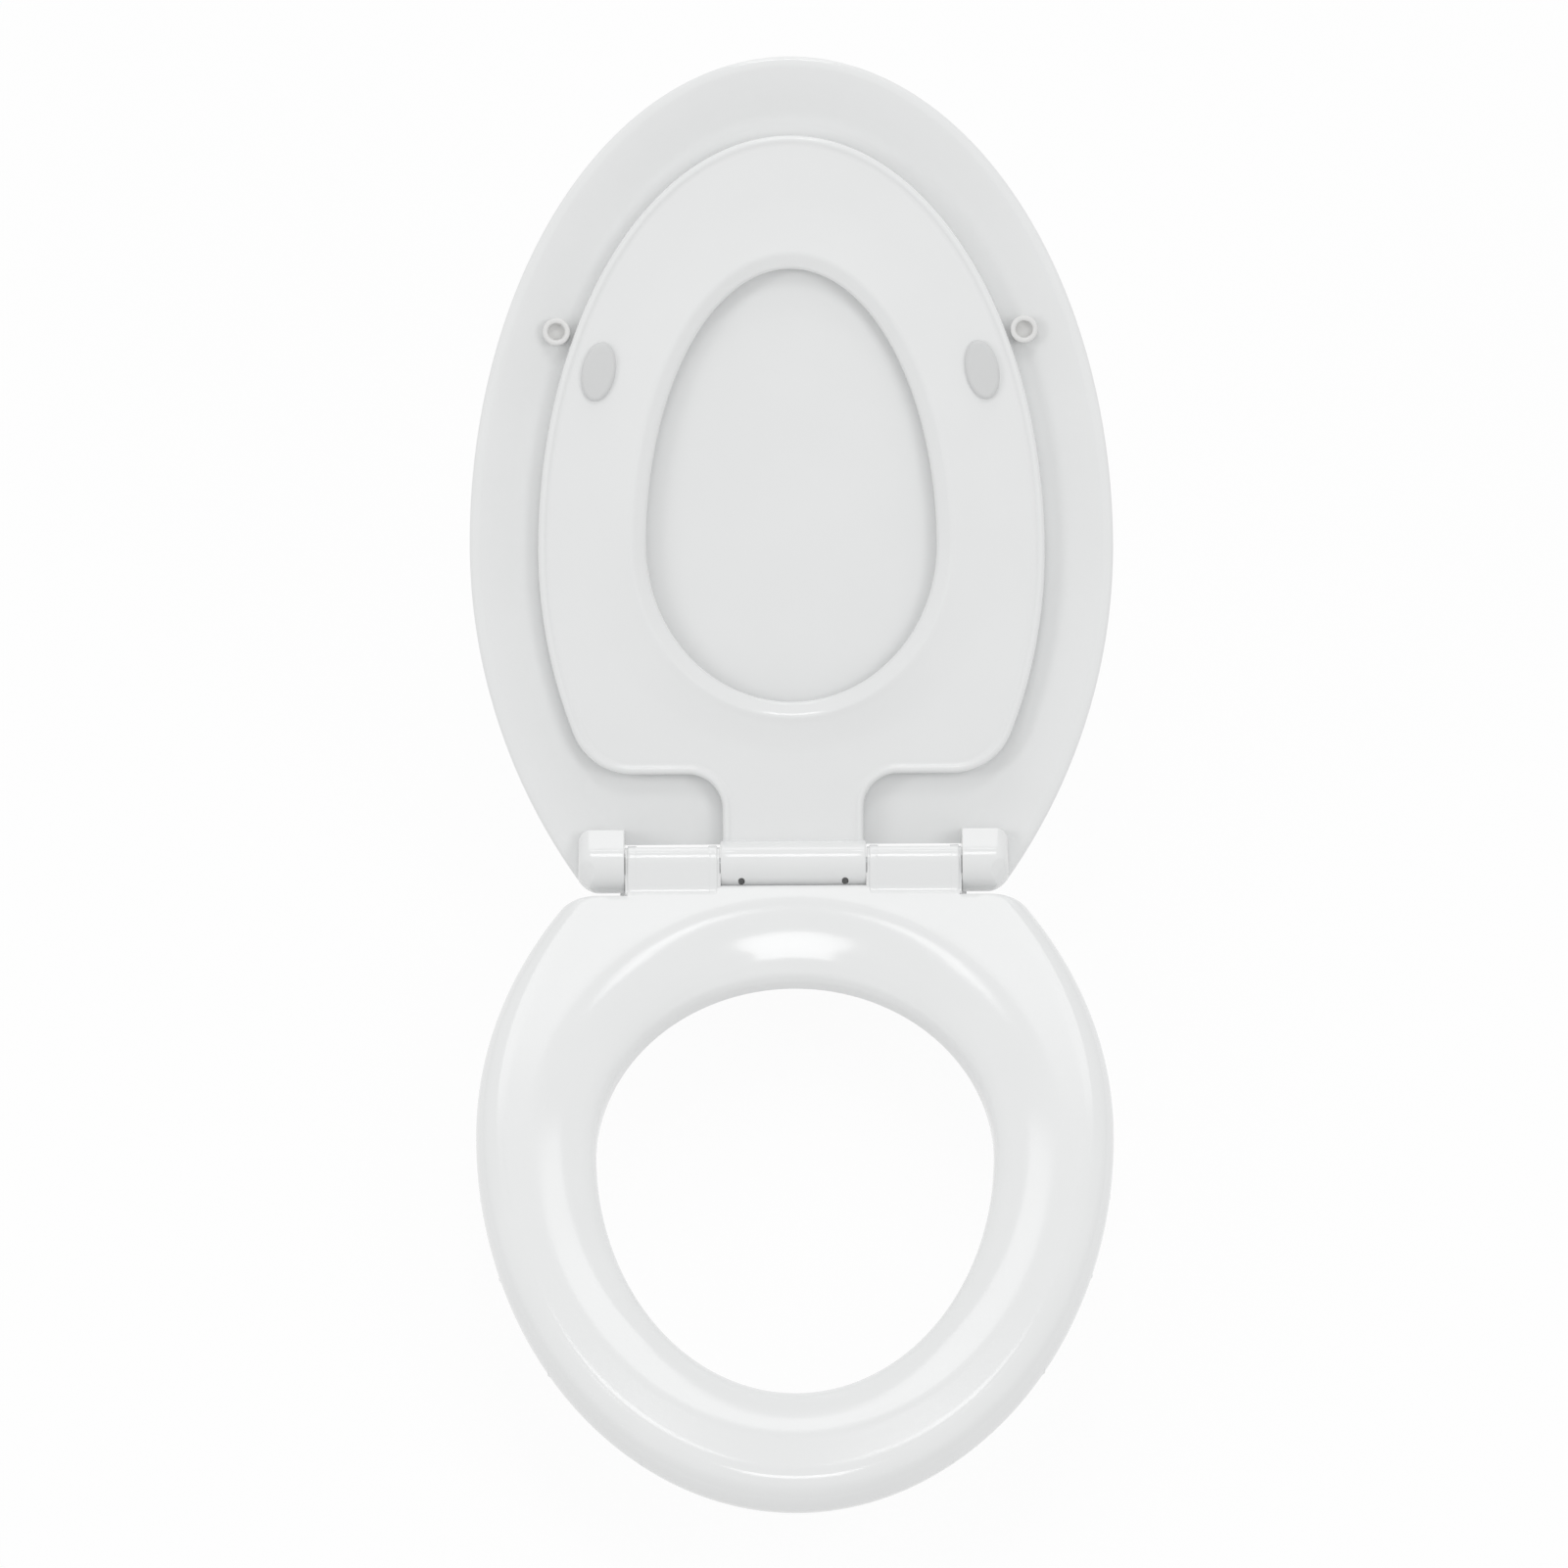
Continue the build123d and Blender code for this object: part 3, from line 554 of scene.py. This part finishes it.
def seat_ribs(top):
    """Ribs under the skin, fanned round the opening. Each follows one column of the top surface,
    sunk by half the wall, down to a level above the seat's lower edge. Points that lie closer than
    a small step in plan are left out."""
    bearing = np.arctan2(top[-1, :, 1] - SEAT_OPENING_WIDEST, top[-1, :, 0])
    ribs = []
    for index in range(RIB_COUNT):
        wanted = 2 * np.pi * (index + 0.5) / RIB_COUNT
        column = np.argmin(np.abs(np.angle(np.exp(1j * (bearing - wanted)))))
        line = top[:, column] - [0, 0, SEAT_WALL / 2]
        line = line[line[:, 2] > RIB_LOW + 1.0]
        step = np.linalg.norm(np.diff(line[:, :2], axis=0), axis=1)
        line = line[np.concatenate([[True], step > RIB_STEP])]
        away = line[-1, :2] - line[0, :2]
        side = np.array([-away[1], away[0]]) / np.linalg.norm(away) * RIB_THICKNESS / 2
        high, low = line[:, 2], np.full(len(line), RIB_LOW)
        corners = [(side, high), (-side, high), (-side, low), (side, low)]
        loops = [stand(line[:, 0] + s[0], line[:, 1] + s[1], up) for s, up in corners]
        ribs.append(closed_bar(np.stack(loops, 1)))
    return ribs


def seat_bosses():
    """A boss over each rubber pad under the seat: the pad's outline, a little larger, carried
    straight up into the skin."""
    bosses = []
    length, width = SEAT_PAD_LENGTH + 2 * BOSS_MARGIN, SEAT_PAD_WIDTH + 2 * BOSS_MARGIN
    loop = pad_outline(length, width, SEAT_PAD_CORNER + BOSS_MARGIN)
    ups = [SEAT_TOP - SEAT_THICKNESS, BOSS_TOP]
    for across, ahead, turn in SEAT_PADS:
        right = closed_bar(stacked(loop, [0.0, 0.0], ups, across, ahead, turn))
        bosses += [right, mirrored(right)]
    return bosses


def make_adult_seat():
    """The adult seat: the shell with its knuckles, ribs and bosses."""
    top, under = seat_section()
    ring = np.concatenate([top, under])
    shell = weave(stand(ring[..., 0], ring[..., 1], ring[..., 2]), True)
    parts = [shell] + seat_knuckles() + seat_ribs(top) + seat_bosses()
    make_piece("adult_seat_moulding", parts, "adult_seat_assembly", ["adult_seat"], "white_seat_plastic")


# Child seat


def ring_outline(inset):
    """The child seat's outlines, drawn inwards by each row's inset: flanks, a short rear edge, a hollow
    arc into the neck, and the neck's straight side and end."""
    width, reach, side, rear, corner, neck, blend = columns(
        RING_WIDTH - 2 * inset,
        RING_REACH - inset,
        RING_SIDE - inset,
        RING_REAR + inset,
        RING_CORNER - inset,
        NECK_WIDTH / 2 - inset,
        NECK_BLEND + inset,
    )
    corner_x, across, ahead = flanks(width, reach, RING_WIDEST, side, rear, corner)
    centre_x, centre_y = neck + blend, rear - blend
    turn = np.linspace(np.pi, np.pi / 2, 16)[1:]
    share = np.linspace(0, 1, 12)
    edge = np.linspace(0, 1, 8)[1:]
    all_across = [
        neck * share,
        neck + 0 * share[1:],
        centre_x + blend * np.cos(turn),
        centre_x + (corner_x - centre_x) * edge,
        across,
    ]
    all_ahead = [
        0 * neck * share,
        centre_y * share[1:],
        centre_y + blend * np.sin(turn),
        rear + 0 * edge,
        ahead,
    ]
    return whole(np.concatenate(all_across, 1), np.concatenate(all_ahead, 1))


def ring_grid():
    """The child seat as a ring of outlines: over a bead along the edge of the underside, up the outer
    edge and round it by a quarter circle, over the flat upper side into a dish, through the opening,
    over a bevel, and back along the underside, which sinks towards the opening."""
    bead = [
        (8.0, 3.3),
        (5.6, 3.28),
        (4.6, 3.0),
        (3.6, 2.45),
        (2.6, 2.2),
        (1.3, 2.55),
        (0.4, 3.5),
        (0.0, 5.0),
        (0.0, 8.0),
    ]
    turn = np.linspace(0, np.pi / 2, 9)
    bead_inset, bead_up = through(bead, 36)
    inset = np.concatenate([bead_inset, RING_EDGE * (1 - np.cos(turn))])
    up = np.concatenate([bead_up, RING_TOP - RING_EDGE * (1 - np.sin(turn))])
    across, ahead = ring_outline(inset)
    outer = np.stack([across, ahead, up[:, None] + 0 * across], -1)
    bearing = np.arctan2(ahead[-1] - RING_OPENING_WIDEST, across[-1])
    dish = [
        (27.0, 27.0, 14.3),
        (22.0, 22.0, 14.1),
        (15.0, 15.0, 13.3),
        (7.0, 7.0, 11.9),
        (2.4, 2.4, 10.2),
        (0.5, 0.5, 8.5),
        (0.0, 0.0, 5.6),
        (0.9, 0.9, 3.7),
        (3.0, 3.0, 2.3),
        (5.8, 5.8, 0.85),
        (7.6, 7.6, -0.05),
        (9.3, 9.0, -0.4),
        (11.2, 10.2, -0.1),
        (15.0, 12.4, 0.6),
        (20.0, 16.0, 1.35),
        (28.8, 22.5, 2.5),
        (36.0, 27.5, 3.15),
        (40.0, 30.0, 3.3),
    ]
    inner = egg(RING_OPENING, through(dish, 84), bearing)
    ring = np.concatenate([outer, blend_rows(outer, inner, 8), inner, blend_rows(inner, outer, 8)])
    return weave(stand(ring[..., 0], ring[..., 1], ring[..., 2], OPEN_ANGLE), True)


def barrel():
    """The hinge barrel, round about the axis with rounded ends. Two blind holes go up into it from
    below: each point within a hole's radius in plan is lifted to the hole's end by a smooth step."""
    place, inset = rounded_run(-BARREL_HALF, BARREL_HALF, BARREL_ROUND)
    near = np.linspace(-1.4, 1.4, 33) * BORE_RADIUS
    plain = np.linspace(-0.85, 0.85, 13) * BORE_ACROSS
    across = np.unique(np.concatenate([place, plain, near - BORE_ACROSS, near + BORE_ACROSS]))
    radius = (BARREL_RADIUS - np.interp(across, place, inset))[:, None]
    before, after = np.linspace(0, BORE_FROM, 60), np.linspace(BORE_TO, 360, 28)[1:-1]
    turn = np.radians(np.concatenate([before, np.linspace(BORE_FROM, BORE_TO, 72)[1:], after]))
    across, ahead, up = np.broadcast_arrays(across[:, None], radius * np.sin(turn), radius * np.cos(turn))
    apart = np.hypot(np.abs(across) - BORE_ACROSS, ahead + BORE_BEHIND)
    share = np.clip((BORE_RADIUS - apart) / BORE_STEP + 0.5, 0, 1) * (up < 0)
    share = share * share * (3 - 2 * share)
    return closed_bar(stand(across, ahead, up + (BORE_END - up) * share, OPEN_ANGLE))


def make_child_seat():
    """The child seat: the ring with its neck, and the hinge barrel."""
    parts = [ring_grid(), barrel()]
    make_piece("child_seat_moulding", parts, "child_seat_assembly", ["child_seat"], "white_seat_plastic")


# Lid


def lid_outline(inset, rear, corner, inner_rear):
    """The lid's shields, drawn inwards by each row's inset; the ears' inner ends are the step."""
    return shield(
        LID_WIDTH - 2 * inset,
        LID_REACH - inset,
        LID_WIDEST,
        LID_SIDE - inset,
        rear,
        corner,
        EAR_IN - LEDGE,
        inner_rear,
    )


def lid_grid():
    """The lid as outlines from the middle of its outside, down over its rounded edge, round the lip
    and up its dished inside to the middle of the panel. Between the ears the rows stay in the panel.
    On the inside the rear edge moves forward by a square law, and the corners grow tighter."""
    belly = [
        (40.0, 18.4),
        (33.0, 17.64),
        (27.0, 16.12),
        (19.0, 13.08),
        (12.0, 10.34),
        (7.0, 8.67),
        (2.8, 7.3),
        (0.4, 5.94),
        (0.2, 4.57),
        (1.4, 3.58),
        (4.2, 3.2),
    ]
    inset, up = through(belly, 64)
    across, ahead = lid_outline(inset, EAR_LEAN * inset - EAR_RADIUS, LID_CORNER, LID_PANEL_REAR)
    on_panel = on_step(across.shape[1])
    up = up[:, None] + 0 * across
    panel_share = (LID_OUTSIDE - LID_INSIDE) / (LID_OUTSIDE - LID_LIP)
    up = np.where(on_panel, LID_OUTSIDE - (LID_OUTSIDE - up) * panel_share, up)
    outside = np.stack([across, ahead, up], -1)
    dish = [
        (5.6, 3.2),
        (7.2, 3.79),
        (12.0, 5.68),
        (19.0, 8.75),
        (27.0, 12.17),
        (33.0, 14.17),
        (39.0, 15.0),
    ]
    inset, up = through(dish, 40)
    share = np.linspace(0, 1, len(inset))
    rear = EAR_DEPTH - LID_REAR_MOVE * (1 - share) ** 2
    corner, inner_rear = LID_CORNER - LID_CORNER_MOVE * share, LID_PANEL_REAR + LID_PANEL_MOVE * share
    across, ahead = lid_outline(inset, rear, corner, inner_rear)
    up = np.where(on_panel, LID_INSIDE, up[:, None] + 0 * across)
    inside = np.stack([across, ahead, up], -1)
    rows = np.concatenate([to_spine(outside[0])[::-1], outside, inside, to_spine(inside[-1])])
    return weave(stand(rows[..., 0], rows[..., 1], rows[..., 2], OPEN_ANGLE), False)


def to_spine(row, count=8):
    """Rows that lead from an outline to a straight line along the middle of the lid."""
    ahead = np.clip(row[:, 1], LID_SPINE_REAR, LID_SPINE_FRONT)
    spine = np.stack([0 * row[:, 0], ahead, row[:, 2]], -1)
    share = np.linspace(0, 1, count + 1)[1:, None, None]
    return row + (spine - row) * share


def ear_section():
    """The ear's side view: round about the axis behind and below, then a ramp that rises to a rounded
    edge, an upright front, and a top inside the lid that leans forward with the lid's back."""
    radius, depth = EAR_RADIUS, EAR_DEPTH
    round_side = arc(radius, EAR_START, 180 - math.degrees(EAR_RAMP), 72)
    edge_up = round_side[-1, 1] + (depth - round_side[-1, 0]) * math.tan(EAR_RAMP)
    centre = np.array([depth - EAR_EDGE, edge_up + EAR_EDGE * math.tan(math.pi / 4 - EAR_RAMP / 2)])
    turn = np.linspace(EAR_RAMP - math.pi / 2, 0, 8)
    edge = centre + EAR_EDGE * np.stack([np.cos(turn), np.sin(turn)], 1)
    front = np.linspace(edge[-1], [depth, LID_INSIDE], 12)[1:]
    return np.concatenate([round_side, np.linspace(round_side[-1], edge[0], 8)[1:-1], edge, front])


def ear_end(ahead, up):
    """How far across the ear reaches at each place of its side view: the lid's outline, drawn inwards
    below by a rounding and above by the lid's own slope, so that the ear stays just under it."""
    rounding = [(-15.6, 12.0), (-13.4, 6.6), (-9.4, 2.4), (-3.9, 0.36), (1.6, 0.0), (3.2, 0.0)]
    slope = [(4.6, 0.5), (5.9, 0.7), (7.3, 3.1), (8.7, 7.3), (10.3, 12.3), (13.1, 19.3), (15.6, 25.6)]
    level, inset = np.array(rounding + slope).T
    inset = np.interp(up, level, inset)
    rear = EAR_LEAN * np.where(up > LID_LIP, inset, 0) - EAR_RADIUS
    side = LID_SIDE - inset
    middle = LID_WIDTH / 2 - LID_SIDE
    turn = np.arcsin((LID_WIDEST - rear - LID_CORNER) / (side - LID_CORNER))
    corner_x = middle + (side - LID_CORNER) * np.cos(turn)
    into_corner = np.clip(rear + LID_CORNER - ahead, 0, LID_CORNER)
    on_corner = into_corner > LID_CORNER * np.sin(turn)
    along_side = middle + np.sqrt(side**2 - (LID_WIDEST - ahead) ** 2)
    return np.where(on_corner, corner_x + np.sqrt(LID_CORNER**2 - into_corner**2), along_side)


def lid_ears():
    """Two ears: the side view carried across and drawn in to its middle at both ends, by a small
    quarter circle at the inner one and a large one at the outer one, which a flat cap closes.
    Wherever that would pass the place that ear_end gives, it stops there."""
    section = ear_section()
    few, many = 6, 14
    inner, inner_inset = rounded_run(EAR_IN, EAR_OUT, EAR_SOFT, few)
    outer, outer_inset = rounded_run(EAR_IN, EAR_OUT, EAR_ROUND, many)
    between = np.linspace(inner[few - 1], outer[many], 8)[1:-1]
    place = np.concatenate([inner[:few], between, outer[many:]])
    inset = np.concatenate([inner_inset[:few], 0 * between, outer_inset[many:]])
    loops = EAR_MIDDLE + (section - EAR_MIDDLE) * (1 - inset / EAR_RADIUS)[:, None, None]
    cap = EAR_MIDDLE + (loops[-1] - EAR_MIDDLE) * np.linspace(1, 0, 10)[1:, None, None]
    loops = np.concatenate([loops, cap])
    place = np.concatenate([place, np.full(len(cap), EAR_OUT)])[:, None]
    across = np.clip(place, EAR_IN, np.maximum(ear_end(loops[..., 0], loops[..., 1]), EAR_IN))
    right = closed_bar(stand(across, loops[..., 0], loops[..., 1], OPEN_ANGLE))
    return [right, mirrored(right)]


def magnet_seat():
    """A low round rim on the lid's panel round its magnet: a small profile turned about a line."""
    profile = [(8.4, 15.6), (8.4, 14.9), (8.2, 14.7), (6.3, 14.7), (6.1, 14.8), (6.1, 15.4), (0.0, 15.4)]
    return turned(profile, 0.0, MAGNET_AHEAD)


def make_lid():
    """The lid: the dish, its two ears and the magnet's rim."""
    parts = [lid_grid()] + lid_ears() + [magnet_seat()]
    make_piece("lid_moulding", parts, "lid_assembly", ["lid"], "white_seat_plastic")


# Small pieces


def turned(profile, across, ahead, slope=(0.0, 0.0)):
    """A profile of (radius, up) turned about an upright line through a place, in the open lid's pose.
    With a slope, the first level of the profile falls by these shares of the way across and ahead."""
    radius, up = np.array(profile).T[:, :, None]
    turn = np.linspace(0, 2 * np.pi, 65)[:-1]
    x, y = radius * np.cos(turn), radius * np.sin(turn)
    up = up + 0 * x
    up[0] -= slope[0] * x[0] + slope[1] * y[0]
    return closed_bar(stand(across + x, ahead + y, up, OPEN_ANGLE))


def pad_outline(length, width, corner):
    """A rounded rectangle, long across: four quarter circles, one after another."""
    turn = np.linspace(0, np.pi / 2, 9)
    quarter = np.stack([np.cos(turn), np.sin(turn)], 1) * corner
    x, y = length / 2 - corner, width / 2 - corner
    signs = np.array([[1, 1], [-1, 1], [-1, -1], [1, -1]])
    runs = [(quarter if sx * sy > 0 else quarter[::-1]) * [sx, sy] + [x * sx, y * sy] for sx, sy in signs]
    return np.concatenate(runs)


def stacked(loop, insets, ups, across, ahead, turn, swing=0.0):
    """An outline, turned by an angle and set at a place, with a row at each height, drawn inwards by
    that row's inset."""
    rows = np.stack([shrunk(loop, inset) for inset in insets])
    cosine, sine = math.cos(math.radians(turn)), math.sin(math.radians(turn))
    x = rows[..., 0] * cosine - rows[..., 1] * sine
    y = rows[..., 0] * sine + rows[..., 1] * cosine
    return stand(across + x, ahead + y, np.array(ups)[:, None], swing)


def make_lid_bumpers():
    """Hollow round buffers on the lid's slope: a wall with a rounded rim round a blind bore."""
    middle, half = (LID_BUMPER_RADIUS + LID_BUMPER_BORE) / 2, (LID_BUMPER_RADIUS - LID_BUMPER_BORE) / 2
    turn = np.linspace(0, np.pi, 9)
    rim = [(middle + half * math.cos(t), LID_BUMPER_LOW + half * (1 - math.sin(t))) for t in turn]
    end = LID_BUMPER_LOW + LID_BUMPER_DEPTH
    profile = [(LID_BUMPER_RADIUS, LID_BUMPER_HIGH)] + rim + [(LID_BUMPER_BORE, end), (0.0, end)]
    right = turned(profile, LID_BUMPER_ACROSS, LID_BUMPER_AHEAD, LID_BUMPER_SLOPE)
    make_pair(right, "lid_bumper", "_ring", "lid_assembly", "white_rubber")


def make_child_bumpers():
    """Oval pads under the child seat, whose edges roll over by a quarter circle into a flat face."""
    turn = np.linspace(0, 2 * np.pi, 73)[:-1]
    oval = np.stack([RING_PAD_WIDTH / 2 * np.cos(turn), RING_PAD_LENGTH / 2 * np.sin(turn)], 1)
    roll = np.linspace(0, np.pi / 2, 10)
    inset = np.concatenate([[0.0], RING_PAD_EDGE * (1 - np.cos(roll))])
    up = np.concatenate([[RING_LOW + 1.0], RING_PAD_LOW + RING_PAD_EDGE * (1 - np.sin(roll))])
    rows = stacked(oval, inset, up, RING_PAD_ACROSS, RING_PAD_AHEAD, RING_PAD_LEAN, OPEN_ANGLE)
    make_pair(closed_bar(rows), "child_bumper", "_pad", "child_seat_assembly", "grey_rubber")


def make_magnets():
    """Round magnets with a bevelled edge, one in the lid's panel and one in the child seat's top."""
    lid_face, ring_face = LID_INSIDE - LID_MAGNET_PROUD, RING_TOP + RING_MAGNET_PROUD
    for node, body, face, back in (
        ("lid_magnet", "lid_assembly", lid_face, lid_face + MAGNET_DEPTH),
        ("child_seat_magnet", "child_seat_assembly", ring_face, RING_TOP - MAGNET_DEPTH),
    ):
        bevel = face + MAGNET_BEVEL * np.sign(back - face)
        rim = MAGNET_RADIUS - MAGNET_BEVEL
        profile = [(MAGNET_RADIUS, back), (MAGNET_RADIUS, bevel), (rim, face), (0.0, face)]
        disc = turned(profile, 0.0, MAGNET_AHEAD)
        make_piece(node + "_disc", [disc], body, [node], "steel")


def make_studs():
    """Fixing studs: the radius falls and rises once for each pitch, on a line that climbs by a pitch
    a turn. The tip is bevelled, and the neck and the head inside the post are plain."""
    height = np.linspace(-STUD_LENGTH, THREAD_TOP, 361)[:, None]
    turn = np.linspace(0, 2 * np.pi, 33)[:-1]
    phase = np.mod(height / THREAD_PITCH - turn / (2 * np.pi), 1.0)
    groove = THREAD_DEPTH * np.clip(1.25 * np.abs(2 * phase - 1) - 0.125, 0, 1)
    radius = np.minimum(STUD_RADIUS - groove, STUD_RADIUS - STUD_BEVEL + (height + STUD_LENGTH))
    neck = [[-5.4, STUD_RADIUS - THREAD_DEPTH], [-5.0, STUD_RADIUS], [0.0, STUD_RADIUS]]
    plain = np.array(neck + [[0.0, STUD_HEAD_RADIUS], [STUD_HEAD_TOP, STUD_HEAD_RADIUS]])
    height = np.concatenate([height, plain[:, :1]])
    radius = np.concatenate([radius, plain[:, 1:] + 0 * turn])
    x, y = radius * np.cos(turn), radius * np.sin(turn)
    points = np.stack([STUD_ACROSS + x, y, height + 0 * radius], -1)
    make_pair(closed_bar(points * MM), "fixing_stud", "_thread", "hinge_base", "steel")


make_adult_seat()
make_child_seat()
make_lid()
make_lid_bumpers()
make_child_bumpers()
make_magnets()
make_studs()

# The CAD's nodes have their slots' finishes too
for subpart in frame["record"]["subparts"]:
    node = frame["nodes"][subpart["node"]]
    node.data.materials.clear()
    node.data.materials.append(FINISHES[subpart["material_slot"]])


# Studio

FLOOR_UP = -STUD_LENGTH  # the fixing studs' tips
FLOOR_HALF = 12.0
FLOOR_WHITE = 0.94  # share of plain white that the camera sees; the rest takes the shadow
WORLD_STRENGTH = 0.65
LAMPS = [  # name, place, target and size in metres, watts, whether glossy surfaces mirror it
    ("overhead_box", (0.0, 0.26, 2.3), (0.0, 0.0, 0.0), (0.56, 0.5), 3.9, True),
    ("rear_panel", (0.0, 2.1, 2.1), (0.0, 0.0, 0.0), (1.5, 0.8), 6.9, True),
    ("left_rear_strip", (-0.215, 1.13, 2.1), (0.0, 0.0, 0.0), (0.27, 0.15), 0.5, True),
    ("right_rear_strip", (0.19, 1.13, 2.1), (0.0, 0.0, 0.0), (0.27, 0.15), 0.5, True),
    ("left_box", (-2.0, -0.8, 1.6), (0.0, 0.0, 0.1), (0.5, 1.2), 7.5, False),
    ("right_box", (1.6, -1.3, 2.2), (0.0, 0.0, 0.1), (1.0, 1.2), 11.0, False),
]


def make_floor():
    """A wide flat floor, white to the eye, that keeps a trace of the object's shadow."""
    mesh = bpy.data.meshes.new("studio_floor")
    corners = np.array([[-1, -1], [1, -1], [1, 1], [-1, 1]]) * FLOOR_HALF
    points = np.column_stack([corners, np.full(4, FLOOR_UP * MM)])
    mesh.from_pydata(points.tolist(), [], [[0, 1, 2, 3]])
    material, tree = new_material("white_paper_floor")
    path = add_node(tree, "ShaderNodeLightPath")
    seen = add_node(
        tree,
        "ShaderNodeMath",
        {"operation": "MAXIMUM"},
        links={0: path.outputs["Is Camera Ray"], 1: path.outputs["Is Glossy Ray"]},
    )
    seen = add_node(
        tree,
        "ShaderNodeMath",
        {"operation": "MAXIMUM"},
        links={0: seen.outputs[0], 1: path.outputs["Is Transmission Ray"]},
    )
    share = add_node(
        tree, "ShaderNodeMath", {"operation": "MULTIPLY"}, {1: FLOOR_WHITE}, {0: seen.outputs[0]}
    )
    paper = add_node(tree, "ShaderNodeBsdfDiffuse", sockets={"Color": linear("#F4F4F4")})
    white = add_node(tree, "ShaderNodeEmission", sockets={"Color": (1, 1, 1, 1), "Strength": 1.0})
    mix = add_node(
        tree,
        "ShaderNodeMixShader",
        links={0: share.outputs[0], 1: paper.outputs[0], 2: white.outputs[0]},
    )
    add_node(tree, "ShaderNodeOutputMaterial", links={"Surface": mix.outputs[0]})
    mesh.materials.append(material)
    floor = bpy.data.objects.new("studio_floor", mesh)
    bpy.context.scene.collection.objects.link(floor)


def make_lamp(name, place, target, size, power, in_gloss):
    """A rectangular soft box at a place, turned towards a target. Glossy surfaces mirror it only if
    in_gloss says so."""
    data = bpy.data.lights.new(name, "AREA")
    data.shape = "RECTANGLE"
    data.size, data.size_y = size
    data.energy = power
    lamp = bpy.data.objects.new(name, data)
    bpy.context.scene.collection.objects.link(lamp)
    lamp.visible_glossy = in_gloss
    lamp.location = place
    lamp.rotation_euler = (Vector(target) - Vector(place)).to_track_quat("-Z", "Y").to_euler()


def make_world():
    """An even white surround."""
    world = bpy.data.worlds.new("white_surround")
    world.use_nodes = True
    tree = world.node_tree
    tree.nodes.clear()
    settings = {"Color": (1, 1, 1, 1), "Strength": WORLD_STRENGTH}
    sky = add_node(tree, "ShaderNodeBackground", sockets=settings)
    add_node(tree, "ShaderNodeOutputWorld", links={"Surface": sky.outputs[0]})
    bpy.context.scene.world = world


# Camera: far off and narrow, as the photograph shows hardly any perspective
CAMERA_DISTANCE = 9.776
CAMERA_RISE = math.radians(49.45)
CAMERA_TILT = math.radians(49.18)
CAMERA_ROLL = math.radians(0.33)
CAMERA_SIDE = -0.005
CAMERA_LENS, CAMERA_SENSOR = 395.2, 36.0
CAMERA_FAR = 100.0


def make_camera():
    """The camera, at a distance and a rise from the hinge axis, tilted down and rolled a little."""
    data = bpy.data.cameras.new("camera")
    data.lens = CAMERA_LENS
    data.sensor_width = CAMERA_SENSOR
    data.clip_end = CAMERA_FAR
    camera = bpy.data.objects.new("camera", data)
    bpy.context.scene.collection.objects.link(camera)
    camera.matrix_world = (
        Matrix.Translation(
            (
                CAMERA_SIDE,
                -CAMERA_DISTANCE * math.cos(CAMERA_RISE),
                AXIS_UP * MM + CAMERA_DISTANCE * math.sin(CAMERA_RISE),
            )
        )
        @ Matrix.Rotation(math.pi / 2 - CAMERA_TILT, 4, "X")
        @ Matrix.Rotation(-CAMERA_ROLL, 4, "Z")
    )
    bpy.context.scene.camera = camera


make_floor()
make_world()
for lamp in LAMPS:
    make_lamp(*lamp)
make_camera()
bpy.context.scene.view_settings.view_transform = "Standard"
